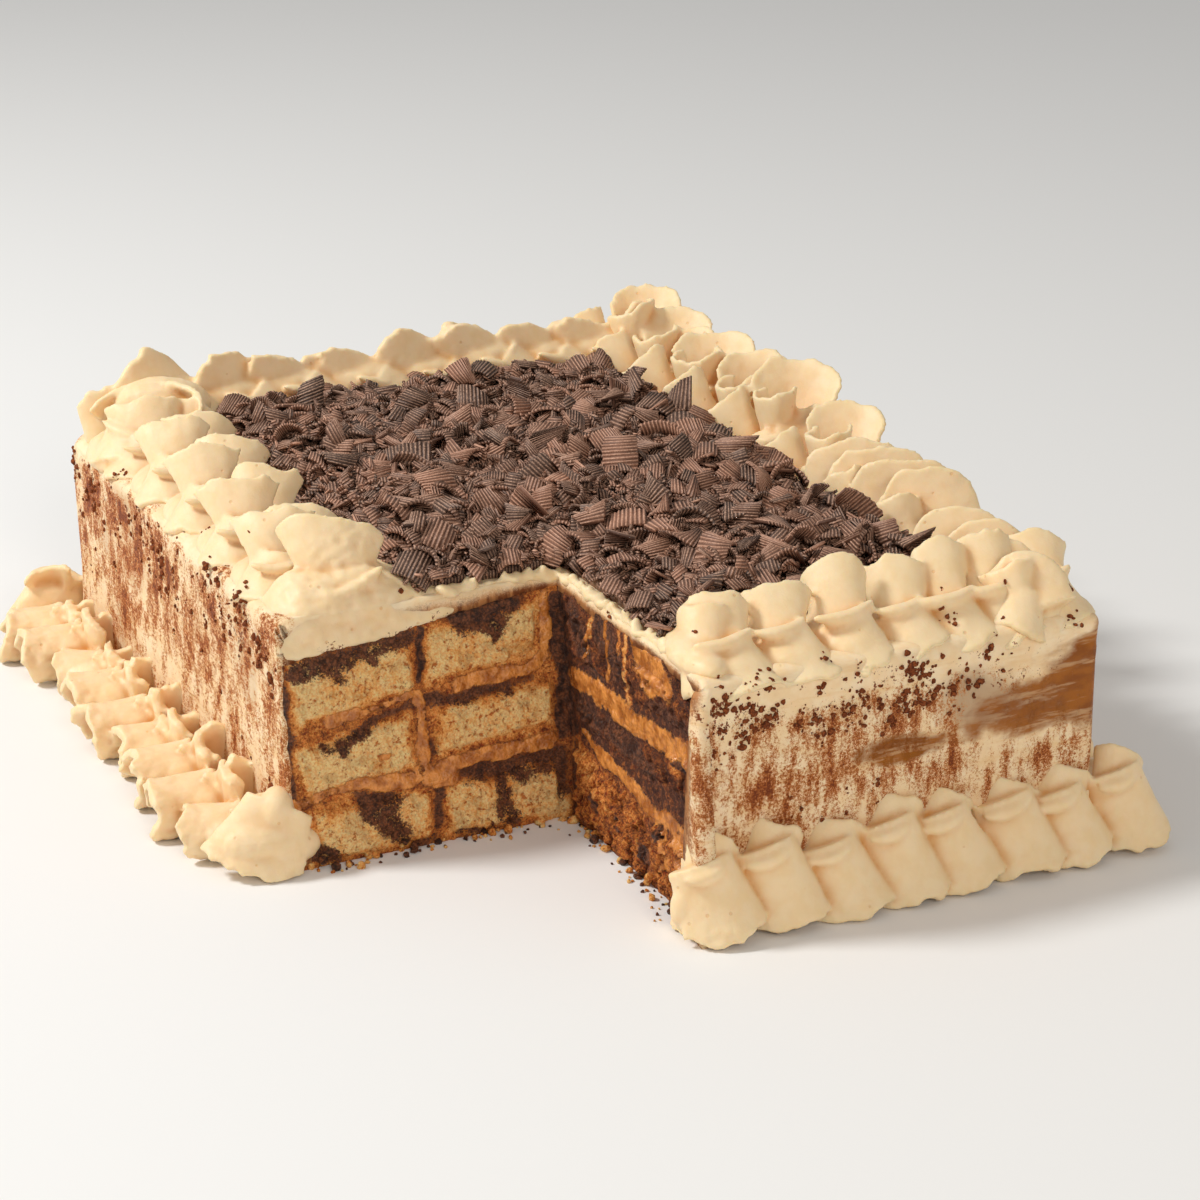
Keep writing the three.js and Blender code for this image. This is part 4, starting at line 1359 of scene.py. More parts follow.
def even_places(side_name, pitch, seed):
    """Where each ruffle of a foot border stands: evenly, give or take a little."""
    half = SIDES[side_name]["half"] + CORNER_REACH
    count = math.floor(2 * half / pitch + 0.5)
    step = 2 * half / count
    return [-half + (k + 0.5 + (scatter(seed + k * 7) - 0.5) * 0.16) * step for k in range(count)]


def settle(side, lean, outward, level):
    """Turns a run's own directions (back, across, up) at a place along the side into the row frame."""
    c, s = math.cos(side["turn"]), math.sin(side["turn"])

    def place(points, at):
        along = at + lean * points[:, 0]
        out = side["out"] + outward * points[:, 1]
        return np.column_stack([out * c - along * s, out * s + along * c, level + points[:, 2]])

    return place


# %% [markdown]
# Each style of ruffle is a short recipe of petals, lobes and bands. A number in brackets with a share
# is drawn a little differently from one ruffle to the next. Directions are (back along the lean,
# across, up); a face towards minus the first is the side that looks at the camera on the left and
# right runs.


# %% Bow ties: the left run, with a fan above a waist, a lobe below it and a petal behind
def bow_tie(dough, step, _):
    back, across, up = dough.draw.normal(0, 0.7, 3)
    dough.roll((2, 14, -1), (0, 1, 0), 12, (0.55 * step, 6.0), face=(1, 0, 0))
    dough.petal(
        (7.5 + back, 23.5, 3.5), (0.5, 0.3, 0.84), (-0.92, -0.25, 0.3), radii=(6.2, (12, 0.1)),
        length=(16, 0.1), sweep=(74, 0.1), flat=0.5, curl=(0.2, 0.5), ragged=0.09,
    )
    dough.petal(
        (0.5 + back, 23, 8), (-0.72, 0.42, -0.4), (-0.4, 0.1, 0.9), radii=(5.6, (9.5, 0.1)),
        length=(12.5, 0.1), sweep=(78, 0.1), flat=0.6, ragged=0.09, thick=(4.4, 1.8), round_top=0.26,
    )
    dough.petal(
        (-2.5 + across, 13.5, 6.5), (0.42, 0.04, 0.9), (-0.9, -0.34, 0.3), radii=(7.2, (12.6, 0.08)),
        length=(14.5, 0.1), sweep=(74, 0.1), flat=0.52, curl=(0.2, 0.4), ragged=0.09, wobble=0.1,
    )
    dough.petal(
        (-3.5 + across * 0.5, 13.5, 8.6), (-0.62, -0.52, -0.6), (-0.42, -0.34, 0.86),
        radii=(6.8, (11.5, 0.1)), length=(16, 0.08), sweep=(76, 0.1), flat=0.62, curl=-0.04,
        thick=(5.0, 2.0), wobble=0.12, round_top=0.22,
    )
    waist = (-6.6, 12.6 + up * 0.5, 8.4)
    dough.roll(waist, (0.06, 1, 0.02), (9.4, 0.08), (1.7, 2.3), bow=(-3.0, 0, -2.0), face=(0.2, 0, 1))


def corner_curl(dough):
    """The big curled sheet that the corner at the far left ends in."""
    dough.roll((-88, 108, HEIGHT - 0.5), (0.6, 1, 0), 20, (14, 6.5), face=(1, -0.6, 0))
    dough.petal(
        (-77, 117, 69), (-0.08, -0.02, 1), (0.5, 0.85, 0.1), radii=(13, 18.5), length=18.5,
        sweep=86, flat=0.62, curl=0.3, ragged=0.05, thick=(6, 2.0), round_top=0.36, twist=-0.3,
    )
    dough.roll((-76, 113, 79), (1, -0.15, -0.1), 15, (8.5, 9.5))
    dough.petal(
        (-90, 101, 79), (-0.5, -0.7, -0.5), (-0.45, -0.3, 0.85), radii=(9, 14), length=16,
        sweep=74, flat=0.65, thick=(5, 2.0), round_top=0.26,
    )
    dough.petal(
        (-80, 96, 70), (0.3, 0.2, 0.93), (-0.7, -0.7, 0.2), radii=(7, 12), length=16,
        sweep=72, flat=0.5, curl=0.1, thick=(4.5, 1.8), round_top=0.3,
    )
    dough.roll((-91, 98, 78), (-0.7, 0.6, 0.1), 10, (1.7, 2.4), bow=(-1.5, -2.6, -1.6))


# %% Tongues over a scalloped band: the front run
def tongue(dough, step, _):
    back, across, up = dough.draw.normal(0, 0.7, 3)
    dough.roll((1, 17, -0.5), (0, 1, 0), 14, (0.6 * step, 5.6), face=(1, 0, 0))
    dough.petal(
        (0.5 + back, 17, 4.5), (0.12, 0.62, 0.76), (-0.4, -0.66, 0.6), radii=(7, (10.2, 0.12)),
        length=(16, 0.12), sweep=(74, 0.1), flat=0.6, curl=(0.06, 1.0), ragged=0.09, twist=0.1, wobble=0.15,
        round_top=0.3,
    )
    band = (-1, 13.8 + up * 0.5, 7.4)
    dough.roll(band, (1, 0.12, 0.04), (9.6, 0.08), (2.0, 2.6), bow=(0, -2.6, -1.2), face=(0, 0.5, 1))
    dough.petal(
        (-1 + across * 0.5, 12.5, 6), (0.06, -0.76, -0.66), (-0.25, -0.6, 0.75),
        radii=(6.4, (11, 0.12)), length=(16, 0.12), sweep=(78, 0.1), flat=0.6, curl=-0.1, ragged=0.1,
        thick=(4.0, 1.6), twist=0.1, wobble=0.2, round_top=0.26,
    )


def front_start(dough):
    """Where the front run starts at the cut: a rolled end and a swept foot."""
    dough.roll((-13, -116, 69), (0.1, 1, 0), 15, (6.5, 4.6), face=(1, 0, 0))
    dough.petal(
        (-13, -116, 72), (0.2, 0.6, 0.7), (-0.85, -0.5, 0.3), radii=(5, 7), length=11,
        sweep=110, flat=0.9, round_top=0.3,
    )
    dough.petal(
        (-14, -119, 72), (-0.1, -0.8, -0.6), (-0.5, -0.5, 0.7), radii=(5, 7.5), length=13,
        sweep=90, flat=0.8, round_top=0.3,
    )


# %% Hollow fans with a curl before them: the far part of the right run
def outer_droop(dough):
    """The lobe that hangs over the outer edge of the cake, mostly out of the camera's sight."""
    dough.petal(
        (-1, 9, 5), (-0.1, -0.84, -0.68), (-0.3, -0.3, 0.9), radii=(7, (11, 0.12)),
        length=(13, 0.12), sweep=(86, 0.1), flat=0.75, curl=-0.06, thick=(4.2, 1.8), round_top=0.25,
    )


def hollow_fan(dough, step, last):
    """A fan that opens towards the camera. The last one has a single petal, so it stays on the cake."""
    back, across, up = dough.draw.normal(0, 0.8, 3)
    dough.roll((2, 16, -0.5), (0, 1, 0), 15, (0.5 * step, 5.5), face=(1, 0, 0))
    dough.petal(
        (3 + back, 6.5, 1), (0.36, -0.24, 0.9), (0.8, -0.6, 0.1), radii=(8, (13.4, 0.1)),
        length=(24.5, 0.08), sweep=(80, 0.1), flat=0.7, curl=-0.1, ragged=0.06, round_top=0.34,
    )
    if not last:
        dough.petal(
            (14 + back, 9, 1), (0.36, -0.2, 0.9), (0.75, -0.66, 0.1), radii=(8, (12, 0.1)),
            length=(20.5, 0.08), sweep=(76, 0.1), flat=0.62, curl=-0.1, ragged=0.07, round_top=0.4,
        )
    dough.petal(
        (-4 + across, 16.5, 3), (0.02, 0.3, 0.92), (-0.5, 0.8, 0.2), radii=(3.8, (7.6, 0.15)),
        length=(15, 0.12), sweep=(128, 0.15), flat=0.95, curl=0.12, twist=0.2, wobble=0.4,
        round_top=0.14,
    )
    dough.petal(
        (7 + up, 21, 3), (0.35, 0.5, 0.75), (-0.8, 0.4, 0.35), radii=(5, (10, 0.15)),
        length=(14, 0.12), sweep=(78, 0.1), flat=0.66, curl=0.16,
    )
    dough.petal(
        (-4, 19.5, 8), (-0.5, 0.66, -0.55), (-0.35, 0.35, 0.85), radii=(4.8, (10, 0.14)),
        length=(16.5, 0.1), sweep=(86, 0.1), flat=0.8, curl=-0.08, ragged=0.09, thick=(4, 1.9),
        round_top=0.28,
    )
    dough.roll((-6.5, 18.5, 8), (0.25, 1, -0.1), (7, 0.1), (2.0, 2.7), bow=(-2, 0.4, -0.8))
    outer_droop(dough)


# %% Long fins across the whole border: the near part of the right run
FIN_TALL = (0.72, 0.86, 0.95, 1.0)  # they grow from the front corner on
FIN_ACROSS = (18, 14.5, 13, 13)
FIN_ROUND = (0.6, 0.45, 0.36, 0.32)


def fin(dough, step, k):
    back, across, _ = dough.draw.normal(0, 0.6, 3)
    tall = FIN_TALL[k]
    dough.roll((2, 16, -0.5), (0, 1, 0), 15, (0.5 * step, 5.5), face=(1, 0, 0))
    for part in (0, 0.5):  # two shingles for each stroke of the nozzle
        dough.petal(
            (-8 + back + part * step, FIN_ACROSS[k], 1.5), (0.62, 0.04, 0.8), (-0.8, 0.42, 0.5),
            radii=(15 * tall, (17.5 * tall, 0.06)), length=(21.5 * tall, 0.06), sweep=(60, 0.06), flat=0.36,
            curl=(-0.08, 0.5), ragged=0.07, round_top=FIN_ROUND[k], thick=(5.4, 2.0), twist=-0.22,
        )
    dough.petal(
        (-5 + across, 24, 2), (0.3, 0.3, 0.9), (-0.7, 0.66, 0.2), radii=(5, (7.2, 0.12)),
        length=(13.5 * tall, 0.12), sweep=(96, 0.1), flat=0.8, curl=0.12, ragged=0.07, round_top=0.34,
    )
    dough.petal(
        (-4, 22, 6), (-0.5, 0.66, -0.5), (-0.35, 0.35, 0.85), radii=(4.6, (9, 0.14)),
        length=(13.5, 0.1), sweep=(84, 0.1), flat=0.8, ragged=0.09, thick=(4, 1.9), round_top=0.3,
    )
    outer_droop(dough)


def fin_or_fan(dough, step, k):
    """The right run changes its style on the way back."""
    if k < len(FIN_TALL):
        fin(dough, step, k)
    else:
        hollow_fan(dough, step, k == len(TOP_PLACES["right"]) - 1)


# %% Waves with a leaning peak: the back run
def wave(dough, step, _):
    back, across, up = dough.draw.normal(0, 0.9, 3)
    dough.roll((0, 15, 7), (1, 0, 0), 0.8 * step, (9.5, 9.0), face=(0, 0, 1))
    for part, tall in ((0.0, 1.0), (0.5, 0.8)):  # a peak, and a lower leaf that half hides behind it
        dough.petal(
            (-2 + back + part * step, 21 - 5 * part, 2), (0.5, -0.24, 0.84), (0.1, 0.85, 0.45),
            radii=(15, (11, 0.15)), length=(24.5 * tall, 0.08), sweep=(72, 0.1), flat=0.5, curl=(-0.05, 0.8),
            ragged=0.09, round_top=0.36, twist=-0.2, wobble=0.2, thick=(7, 2.4),
        )
    dough.petal(
        (-6 + across, 20, 12), (-0.7, 0.5, -0.5), (-0.1, 0.6, 0.8), radii=(8, (11, 0.12)),
        length=(15, 0.1), sweep=(78, 0.1), flat=0.6, thick=(5.0, 2.0), round_top=0.28, twist=0.25,
    )
    dough.roll((-3, 21.5, 10 + up * 0.4), (0.9, 0.3, 0.36), (9.5, 0.12), (1.9, 2.7), bow=(-1.0, 1.8, -1.0))
    outer_droop(dough)


# %% Tubes on the table, with ears against the wall: the foot on the left and right
TUBE_TOP = 13.6


def tube(dough, step, _):
    draw = dough.draw
    swing = draw.normal(0, 0.2)
    dough.petal(
        (0, 7, TUBE_TOP - 1.5), (swing - 0.1, 1, dough.about((-0.03, 1.0))), (0.3, 0, 0.94),
        radii=(7.0, (7.6, 0.1)), length=(17.5, 0.14), sweep=(146, 0.08), flat=0.94, curl=-0.1, ragged=0.16,
        thick=(4.6, 3.0), round_top=0.1, twist=0.1, wobble=0.35,
    )
    dough.roll((0.3, 10.5, 6.2), (swing, 1, -0.08), 11, (7.4, 7.2), face=(1, 0, 0))
    for k in range(2):  # fold bands over the root
        dough.petal(
            (1 + 3 * k, 7 - 2.4 * k, 5.5), (0.25, 0.3, 1), (0.1, 1, 0), radii=(6.5 - k, 7.4),
            length=(9.5 + 3 * k, 0.14), sweep=(66, 0.1), flat=0.6, curl=0.1, ragged=0.12, thick=(4.4, 2.6),
        )
    dough.roll((3.5, 6, 11), (-0.2, 0.7, 0.6), 7.5, (2.2, 2.8), bow=(-1.5, 0, 0.8))
    dough.petal(  # the ear, a loop that stands against the wall
        (3.5 + draw.normal(0, 0.8), 4, 4), (0.2, 0.1, 1), (-0.75, 0.6, 0.1),
        radii=(4.4, (5.6, 0.14)), length=(15, 0.18), sweep=(112, 0.1), flat=0.95, ragged=0.14,
        thick=(4.2, 2.6), twist=0.2, wobble=0.35, round_top=0.24, curl=-0.05,
    )
    dough.roll((2, 1.5, 3), (1, 0, 0), 0.6 * step, (4.5, 5.5), face=(0, 0, 1))


def foot_smear(dough):
    """The last lobe of the left foot, drawn out smooth towards the cut."""
    foot_y = left_cut_y(0)
    dough.roll((-106, foot_y + 4, 8), (1, -0.05, -0.12), 14, (7.5, 6.5))
    dough.petal(
        (-103, foot_y + 4, 19), (-0.5, -0.24, -0.8), (-0.25, -0.85, 0.4), radii=(9, 16), length=21,
        sweep=66, flat=0.5, thick=(6, 3.0), round_top=0.16, twist=0.15,
    )
    dough.roll((-104, foot_y + 5, 17), (0.2, 0.3, 1), 6.5, (5.5, 5.0))


# %% Broad shingled lobes: the foot at the front and the back
def shingle(dough, step, _):
    dough.petal(  # a broad lobe that leans out from the wall, its free edge over the next one
        (-3, 3.5, 21), (0.22, 0.42, -1), (-0.3, 1, 0.25), radii=(7.5, (12.5, 0.1)),
        length=(22.5, 0.05), sweep=(74, 0.08), flat=0.62, curl=-0.06, ragged=0.07, thick=(5.0, 2.2),
        twist=(0.35, 0.4), round_top=0.2,
    )
    dough.petal(  # a small tongue rolled over the top
        (-1, 3, 15), (0.35, -0.05, 1), (-0.3, 1, 0.2), radii=(5.5, (7.5, 0.15)),
        length=(11.5, 0.15), sweep=(80, 0.12), flat=0.7, curl=0.15, thick=(4.5, 2.0), round_top=0.25,
    )
    dough.roll((-2, 4.5, 19.5), (1, 0, 0.3), (7, 0.15), (2.2, 3.0), bow=(0, 1.2, -1), face=(0, 0, 1))
    dough.roll((0, 2.5, 9), (1, 0, 0), 0.62 * step, (9.5, 5.0), face=(0, 0, 1))


def foot_start(dough):
    """The lobe that wraps the corner of the cut at the foot of the front."""
    dough.petal(
        (-15.5, -134, 20), (-0.12, -0.34, -1), (-0.45, -1, 0.25), radii=(7, 11), length=21,
        sweep=84, flat=0.7, ragged=0.07, thick=(5, 2.2), twist=0.3, round_top=0.2,
    )
    dough.roll((-18.5, -135.5, 5), (0.1, 0.25, 1), 7, (5.0, 4.6), face=(1, 0, 0))
    dough.roll((-16.5, -137, 17.5), (1, 0.2, -0.3), 6.5, (2.2, 3.0), bow=(0, -1.2, -1))


def foot_corner(dough):
    """The lobe that turns the near right corner of the foot."""
    dough.petal(
        (101, -131, 19), (0.36, -0.1, -1), (0.9, -0.7, 0.3), radii=(8, 13), length=21,
        sweep=80, flat=0.66, thick=(5, 2.2), twist=0.3, round_top=0.2,
    )
    dough.roll((104, -131, 8), (0.2, 1, 0), 10, (6, 6.5), face=(1, 0, 0))
    dough.roll((103, -130, 17), (0.3, 1, -0.1), 7, (2.2, 3.0), bow=(1.2, 0, -1))


# %% [markdown]
# At the cut the left run ends in a smear: the knife or the nozzle drew the last ruffle out flat over
# the corner of the cream, down to the edge. One last large fan stands behind it.


# %% The smear at the cut
SMEAR_X = [-100.8, -98.5, -93, -72, -58, -44]
SMEAR_CROWN = [-7.0, -1.0, 6.5, 9.0, 3.0, 0.2]  # above the cake's top, at each of these places
SMEAR_FOOT = [59.0, 57.6, 57.8, 59.8, 61.2, 64.0]  # the height of its lower edge
SMEAR_FRONT = [-48.4, -49.2, -49.6, -49.2, -48.6, -47.2]
SMEAR_BACK = -31  # where its thick end lies, behind the cut


def smear(dough):
    u, v, side = SLAB[:, 0], (SLAB[:, 1] + 1) / 2, SLAB[:, 2]
    v = np.clip(v, 0, 1)
    x = SMEAR_X[0] + np.clip((u + 1) / 2, 0, 1) * (SMEAR_X[-1] - SMEAR_X[0])
    lower = np.interp(x, SMEAR_X, SMEAR_FOOT)
    front = np.interp(x, SMEAR_X, SMEAR_FRONT)
    crest = HEIGHT + np.interp(x, SMEAR_X, SMEAR_CROWN)
    slope = np.sqrt(np.clip(1 - v**2.4, 0, 1))
    upper = lower + (crest - lower) * slope
    y = SMEAR_BACK + (front - SMEAR_BACK) * v
    thick = np.maximum(upper - lower, 0) + 1.8
    dough.add(np.column_stack([x, y, (upper + lower) / 2 + side * thick / 2]), SLAB_FACES)
    dough.petal(
        (-79, -36.5, 73), (0.16, 0.24, 0.95), (-0.26, -0.95, 0.15), radii=(10, 16.5), length=17,
        sweep=66, flat=0.5, curl=0.12, ragged=0.06, thick=(5.5, 1.5), round_top=0.34, twist=-0.22,
    )
    dough.roll((-78.5, -42.2, 74.2), (1, 0.05, 0.22), 11.5, (1.5, 2.2), bow=(0, -1.4, -2.0))
    cream_rim(dough)
    corner_curl(dough)


def cream_rim(dough):
    """The thin torn rim of cream along both cuts, with little peaks where the knife let go."""
    draw = np.random.default_rng(405)
    ways = [(x, -46.4, (1, 0, 0)) for x in np.arange(-52, CUT_X + 1, 3.0)]
    ways += [(-17.2, y, (0, 1, 0)) for y in np.arange(-108, CUT_Y + 1, 3.0)]
    for x, y, along in ways:
        size = draw.uniform(0.9, 1.7)
        x, y = (x, y) + draw.normal(0, 0.45, 2)
        along = np.array(along) + draw.normal(0, 0.25, 3)
        dough.roll((x, y, HEIGHT + 0.3), along, 3.4, (size, size * 1.3))
        if draw.random() < 0.55:
            lean = (draw.normal(0, 0.5), draw.normal(0.2, 0.4), 1)
            high = draw.uniform(1.6, 3.6)
            dough.roll((x, y, HEIGHT + 0.6), lean, high, (1.0, draw.uniform(1.1, 2.2)))


# %% [markdown]
# A run is gathered ruffle by ruffle, fused by a voxel Remesh, smoothed, and made a little uneven. The
# front run is also cut flush with the face that the knife made. Points that a fold shelters get painted
# shade, a deeper tone found by how far each point lies inside its softened neighbour, and the lobes
# near the wall carry a little of the wall's cocoa.

# %% Fuse and finish a run
VOXEL = {  # in millimetres: the finest where the camera is near
    "top_left": 0.7, "top_front": 0.68, "top_right": 0.85, "top_back": 0.82,
    "base_left": 0.7, "base_front": 0.68, "base_right": 1.0, "base_back": 0.9,
}


def fuse(piece, voxel):
    """Makes one skin of all that touches, and rounds the joins."""
    use(piece, "REMESH", mode="VOXEL", voxel_size=voxel * MM, adaptivity=0.0)
    use(piece, "SMOOTH", factor=0.5, iterations=2)


def swell(piece, points, amount):
    """Moves each point out along its normal, by its own amount, and keeps it above the table."""
    points = points + amount[:, None] * read_normals(piece)
    points[:, 2] = np.maximum(points[:, 2], 0.05)
    write_points(piece, points)


def cut_flush(piece, point, normal, voxel):
    """Cuts away what lies beyond a plane, and gives the cut the fine, slightly rough face of cream."""
    pick(piece)
    bpy.ops.object.mode_set(mode="EDIT")
    bpy.ops.mesh.select_all(action="SELECT")
    bpy.ops.mesh.bisect(
        plane_co=Vector(point) * MM, plane_no=normal, use_fill=True, clear_outer=True, clear_inner=False
    )
    bpy.ops.object.mode_set(mode="OBJECT")
    fuse(piece, voxel)
    points = read_points(piece)
    facing = unit(normal)
    gap = (points - np.array(point)) @ facing
    rough = 0.7 * layered_noise(points, 6.0, 97) + 0.25 * noise(points, 1.8, 98)
    write_points(piece, points + (ramp(gap, -2.0, -0.2) * rough)[:, None] * facing)


def run(name, style, places, seed, lean=1, keep=None, extra=None):
    """One run of ruffles. Its name is its border and its side; keep says at which spots a ruffle may
    stand, and extra adds what the run has besides its ruffles."""
    border, side_name = name.split("_")
    outward, level = (-1, HEIGHT) if border == "top" else (1, 0)
    dough = Dough(seed)
    place = settle(SIDES[side_name], lean, outward, level)
    gaps = np.gradient(np.array(places, float))
    for k, (at, step) in enumerate(zip(places, gaps)):
        mark = len(dough.points)
        style(dough, step, k)
        lift = 0.9 + 0.2 * scatter((seed + k) * 3 + 1)
        if keep and not keep(place(np.array([[0.0, 10.0, 0.0]]), at)[0]):
            del dough.points[mark:], dough.faces[mark:]
            dough.count = sum(len(points) for points in dough.points)
        dough.points[mark:] = [place(points * (1, 1, lift), at) for points in dough.points[mark:]]
    if extra:
        extra(dough)
    points = np.concatenate(dough.points)
    points[:, 2] = np.maximum(points[:, 2], 0.3)
    piece = mesh_piece(f"ruffles_{name}", points, np.concatenate(dough.faces))
    fuse(piece, VOXEL[name])
    points = read_points(piece)
    foot = ramp(-points[:, 2], -9, -2) if border == "base" else 0
    uneven = 0.35 * layered_noise(points, 6.0, seed + 3) + 0.5 * foot * layered_noise(points, 2.6, seed + 4)
    swell(piece, points, uneven)
    return piece


def painted_fold_shade(piece):
    """How much painted shade each point gets: how sheltered it is, from 0 on a crest to 1 in a fold."""
    points = read_points(piece)
    edges = np.empty(len(piece.data.edges) * 2, np.int32)
    piece.data.edges.foreach_get("vertices", edges)
    a, b = edges.reshape(-1, 2).T
    neighbours = np.bincount(np.concatenate([a, b]), minlength=len(points))[:, None]
    soft = points.copy()
    for _ in range(25):  # each round moves every point to the middle of its neighbours
        total = np.zeros_like(soft)
        for axis in range(3):
            for here, there in ((a, b), (b, a)):
                total[:, axis] += np.bincount(here, soft[there, axis], len(points))
        soft = total / np.maximum(neighbours, 1)
    buried = np.einsum("ij,ij->i", soft - points, read_normals(piece))
    return ramp(buried, -0.2, 1.2)


def complete(piece, dusty=0.0):
    """Paints the run and hands it over, in the place of the solid that bears its name."""
    # painted shade in the folds, as the depth that the piping's finish reads
    paint(piece, "depth", painted_fold_shade(piece))
    points = read_points(piece)
    patches = ramp(noise(points, 8.0, 91), 0.1, 0.5)
    band = ramp(-points[:, 2], -72, -60)
    paint(piece, "dust", np.clip(dusty * patches * band, 0, 1))
    hand_over(piece, piping_finish, "piping", piece.name.replace("ruffles", "piping"))


# %% The top runs
top_left = run("top_left", bow_tie, TOP_PLACES["left"], 11, lean=-1, extra=smear)
points = read_points(top_left)
wrinkles = 0.7 * layered_noise(points, (9, 9, 4), 95) + 0.25 * noise(points, 2.0, 96)
swell(top_left, points, ramp(-points[:, 1], 28, 36) * wrinkles)  # where the knife swept over it
complete(top_left, 0.5)

top_front = run("top_front", tongue, TOP_PLACES["front"], 131, extra=front_start)
cut_flush(top_front, (CUT_X - 0.6, 0, 0), (-1, 0, 0), VOXEL["top_front"])
complete(top_front, 0.6)

top_right = run("top_right", fin_or_fan, TOP_PLACES["right"], 91)
complete(top_right, 0.3)

complete(run("top_back", wave, TOP_PLACES["back"], 51, keep=lambda spot: spot[0] > -88))

# %% The runs round the foot
base_left = run(
    "base_left", tube, even_places("left", 20, 211), 211,
    keep=lambda spot: left_cut_y(0) + 6 < spot[1] < HALF_LENGTH + 3, extra=foot_smear,
)
points = read_points(base_left)
torn = ramp(-points[:, 0], HALF_WIDTH + 15, HALF_WIDTH + 19) * (0.6 * layered_noise(points, 2.6, 99) - 0.2)
swell(base_left, points, torn)
complete(base_left)

complete(run(
    "base_front", shingle, even_places("front", 18, 331), 331,
    keep=lambda spot: spot[0] > CUT_X - 4, extra=foot_start,
))
complete(run(
    "base_right", tube, even_places("right", 20, 291), 291, lean=-1,
    keep=lambda spot: -HALF_LENGTH + 8 < spot[1] < HALF_LENGTH + 3, extra=foot_corner,
))
complete(run("base_back", shingle, even_places("back", 20, 251), 251))

# %% [markdown]
# Lumps of cocoa cling under the piping and on its lower lobes. Each clot is a handful of copies of the
# crumb's lump, pressed flat against the cream. The coat's own points tell where they may sit, and the
# same goes for the ruffles.

# %% Clots of cocoa
draw = np.random.default_rng(433)
points, faces = [], []


def clots_on(places, normals, share, count):
    """Adds clots at places drawn by their share of the cocoa."""
    for k in draw.choice(len(places), count, p=share / share.sum()):
        normal = normals[k]
        side = unit(np.cross(normal, (0.3, 0.2, 1.0)))
        up = np.cross(normal, side)
        reach = 0.5 + 1.9 * draw.random() ** 3
        for _ in range(1 + int(reach * 2.2)):
            size = (0.22 + 0.62 * draw.random() ** 2) * (0.7 + 0.3 * reach)
            across, along = draw.normal(0, 0.5 * reach, 2) * (1.0, 1.6)
            form = lump(len(points), 173) * size * draw.uniform(0.7, 1.3, 3) * (1, 1, 0.6)
            middle = places[k] + across * side + along * up + normal * 0.25 * size
            faces.append(LUMP_FACES + len(points) * len(LUMP))
            points.append(middle + form[:, :1] * side + form[:, 1:2] * up + form[:, 2:] * normal)


clots_on(shaped, facing, np.clip(clot_share, 0, None) ** 1.2, 430)
for ruffle, count in ((top_front, 110), (top_left, 60), (top_right, 40)):
    places, normals = read_points(ruffle), read_normals(ruffle)
    low = ramp(-places[:, 2], -84, -68) * ramp(noise(places, 9.0, 175), 0.1, 0.6) ** 2
    low *= np.maximum(ramp(places[:, 0], 60, 100), ramp(-places[:, 0], 92, 100)) + 0.25
    clots_on(places, normals, low * ramp(-places[:, 1], -140, -100), count)
places = np.concatenate(points)
places[:, 2] = np.maximum(places[:, 2], 0.1)
clots = mesh_piece("cocoa_clots", places, np.concatenate(faces))
hand_over(clots, clot_finish, "coat")

# %% [markdown]
# ## The chocolate shavings
#
# The heap is thousands of curls and crumbs. A core with a lumpy top stands for those that are buried,
# and the ones that show lie on it at their real size. Each size of curl is modelled once, as a strip
# bent over an arc, and copied to its place with its own turn and tilt. The large ones have the ridges
# of the grater in their mesh; on the smaller ones the finish draws them.

# %% The core of the heap
HEAP_LEFT, HEAP_X = 60.0, HALF_WIDTH - 34.0
HEAP_NEAR, HEAP_FAR = -HALF_LENGTH + 34.0, HALF_LENGTH - 28.0
HEAP_RIM = 5.0
HEAP_FOOT = HEIGHT + 0.1


def heap_top(x, y):
    """The height of the core: thin beside the cuts, deep further in, and low at its outer edge."""
    probe = np.column_stack([x, y, np.zeros(len(x))])
    depth = 2.4 + 5.2 * ramp(from_cut(x, y), 2, 45)
    to_side = np.minimum(HEAP_X + 6 - x, x + HEAP_LEFT + 6)
    to_edge = np.minimum(np.minimum(to_side, y - HEAP_NEAR + 6), HEAP_FAR + 6 - y)
    return HEAP_FOOT + depth * ramp(to_edge, -2, 12) + 2.2 * layered_noise(probe, 13, 71)


heap, sheet = new_grid("shavings_core", 74, 108)
spot_x = sheet[:, 0] * (HEAP_X + 5)
spot_y = (sheet[:, 1] + 1) / 2 * (HEAP_FAR - HEAP_NEAR + 10) + HEAP_NEAR - 5
write_points(heap, np.column_stack([spot_x, spot_y, np.full(len(sheet), HEAP_FOOT)]))
pick(heap)
bpy.ops.object.mode_set(mode="EDIT")
work = bmesh.from_edit_mesh(heap.data)
for face in work.faces:
    middle = face.calc_center_median() / MM
    face.select_set(middle.x < CUT_X + HEAP_RIM and middle.y < CUT_Y + HEAP_RIM)
bpy.ops.mesh.delete(type="FACE")
bpy.ops.mesh.select_all(action="SELECT")
bpy.ops.mesh.extrude_region_move(TRANSFORM_OT_translate={"value": (0, 0, 2 * MM)})
bpy.ops.mesh.select_all(action="SELECT")
bpy.ops.mesh.normals_make_consistent(inside=False)
bpy.ops.object.mode_set(mode="OBJECT")
points = read_points(heap)
is_top = points[:, 2] > HEAP_FOOT + 1
x, y, _ = points[is_top].T
lumpy = heap_top(x, y) + 0.8 * noise(points[is_top], 2.6, 73)
points[is_top, 2] = np.maximum(lumpy, HEAP_FOOT + 0.6)
write_points(heap, points)
write_uv(heap, points[:, :2])
# painted shade: the core takes a dark tone, for the shade in the gaps between the curls
paint(heap, "tone", np.full(len(points), 0.1))
hand_over(heap, chocolate_finish, "chocolate", "chocolate_shavings")

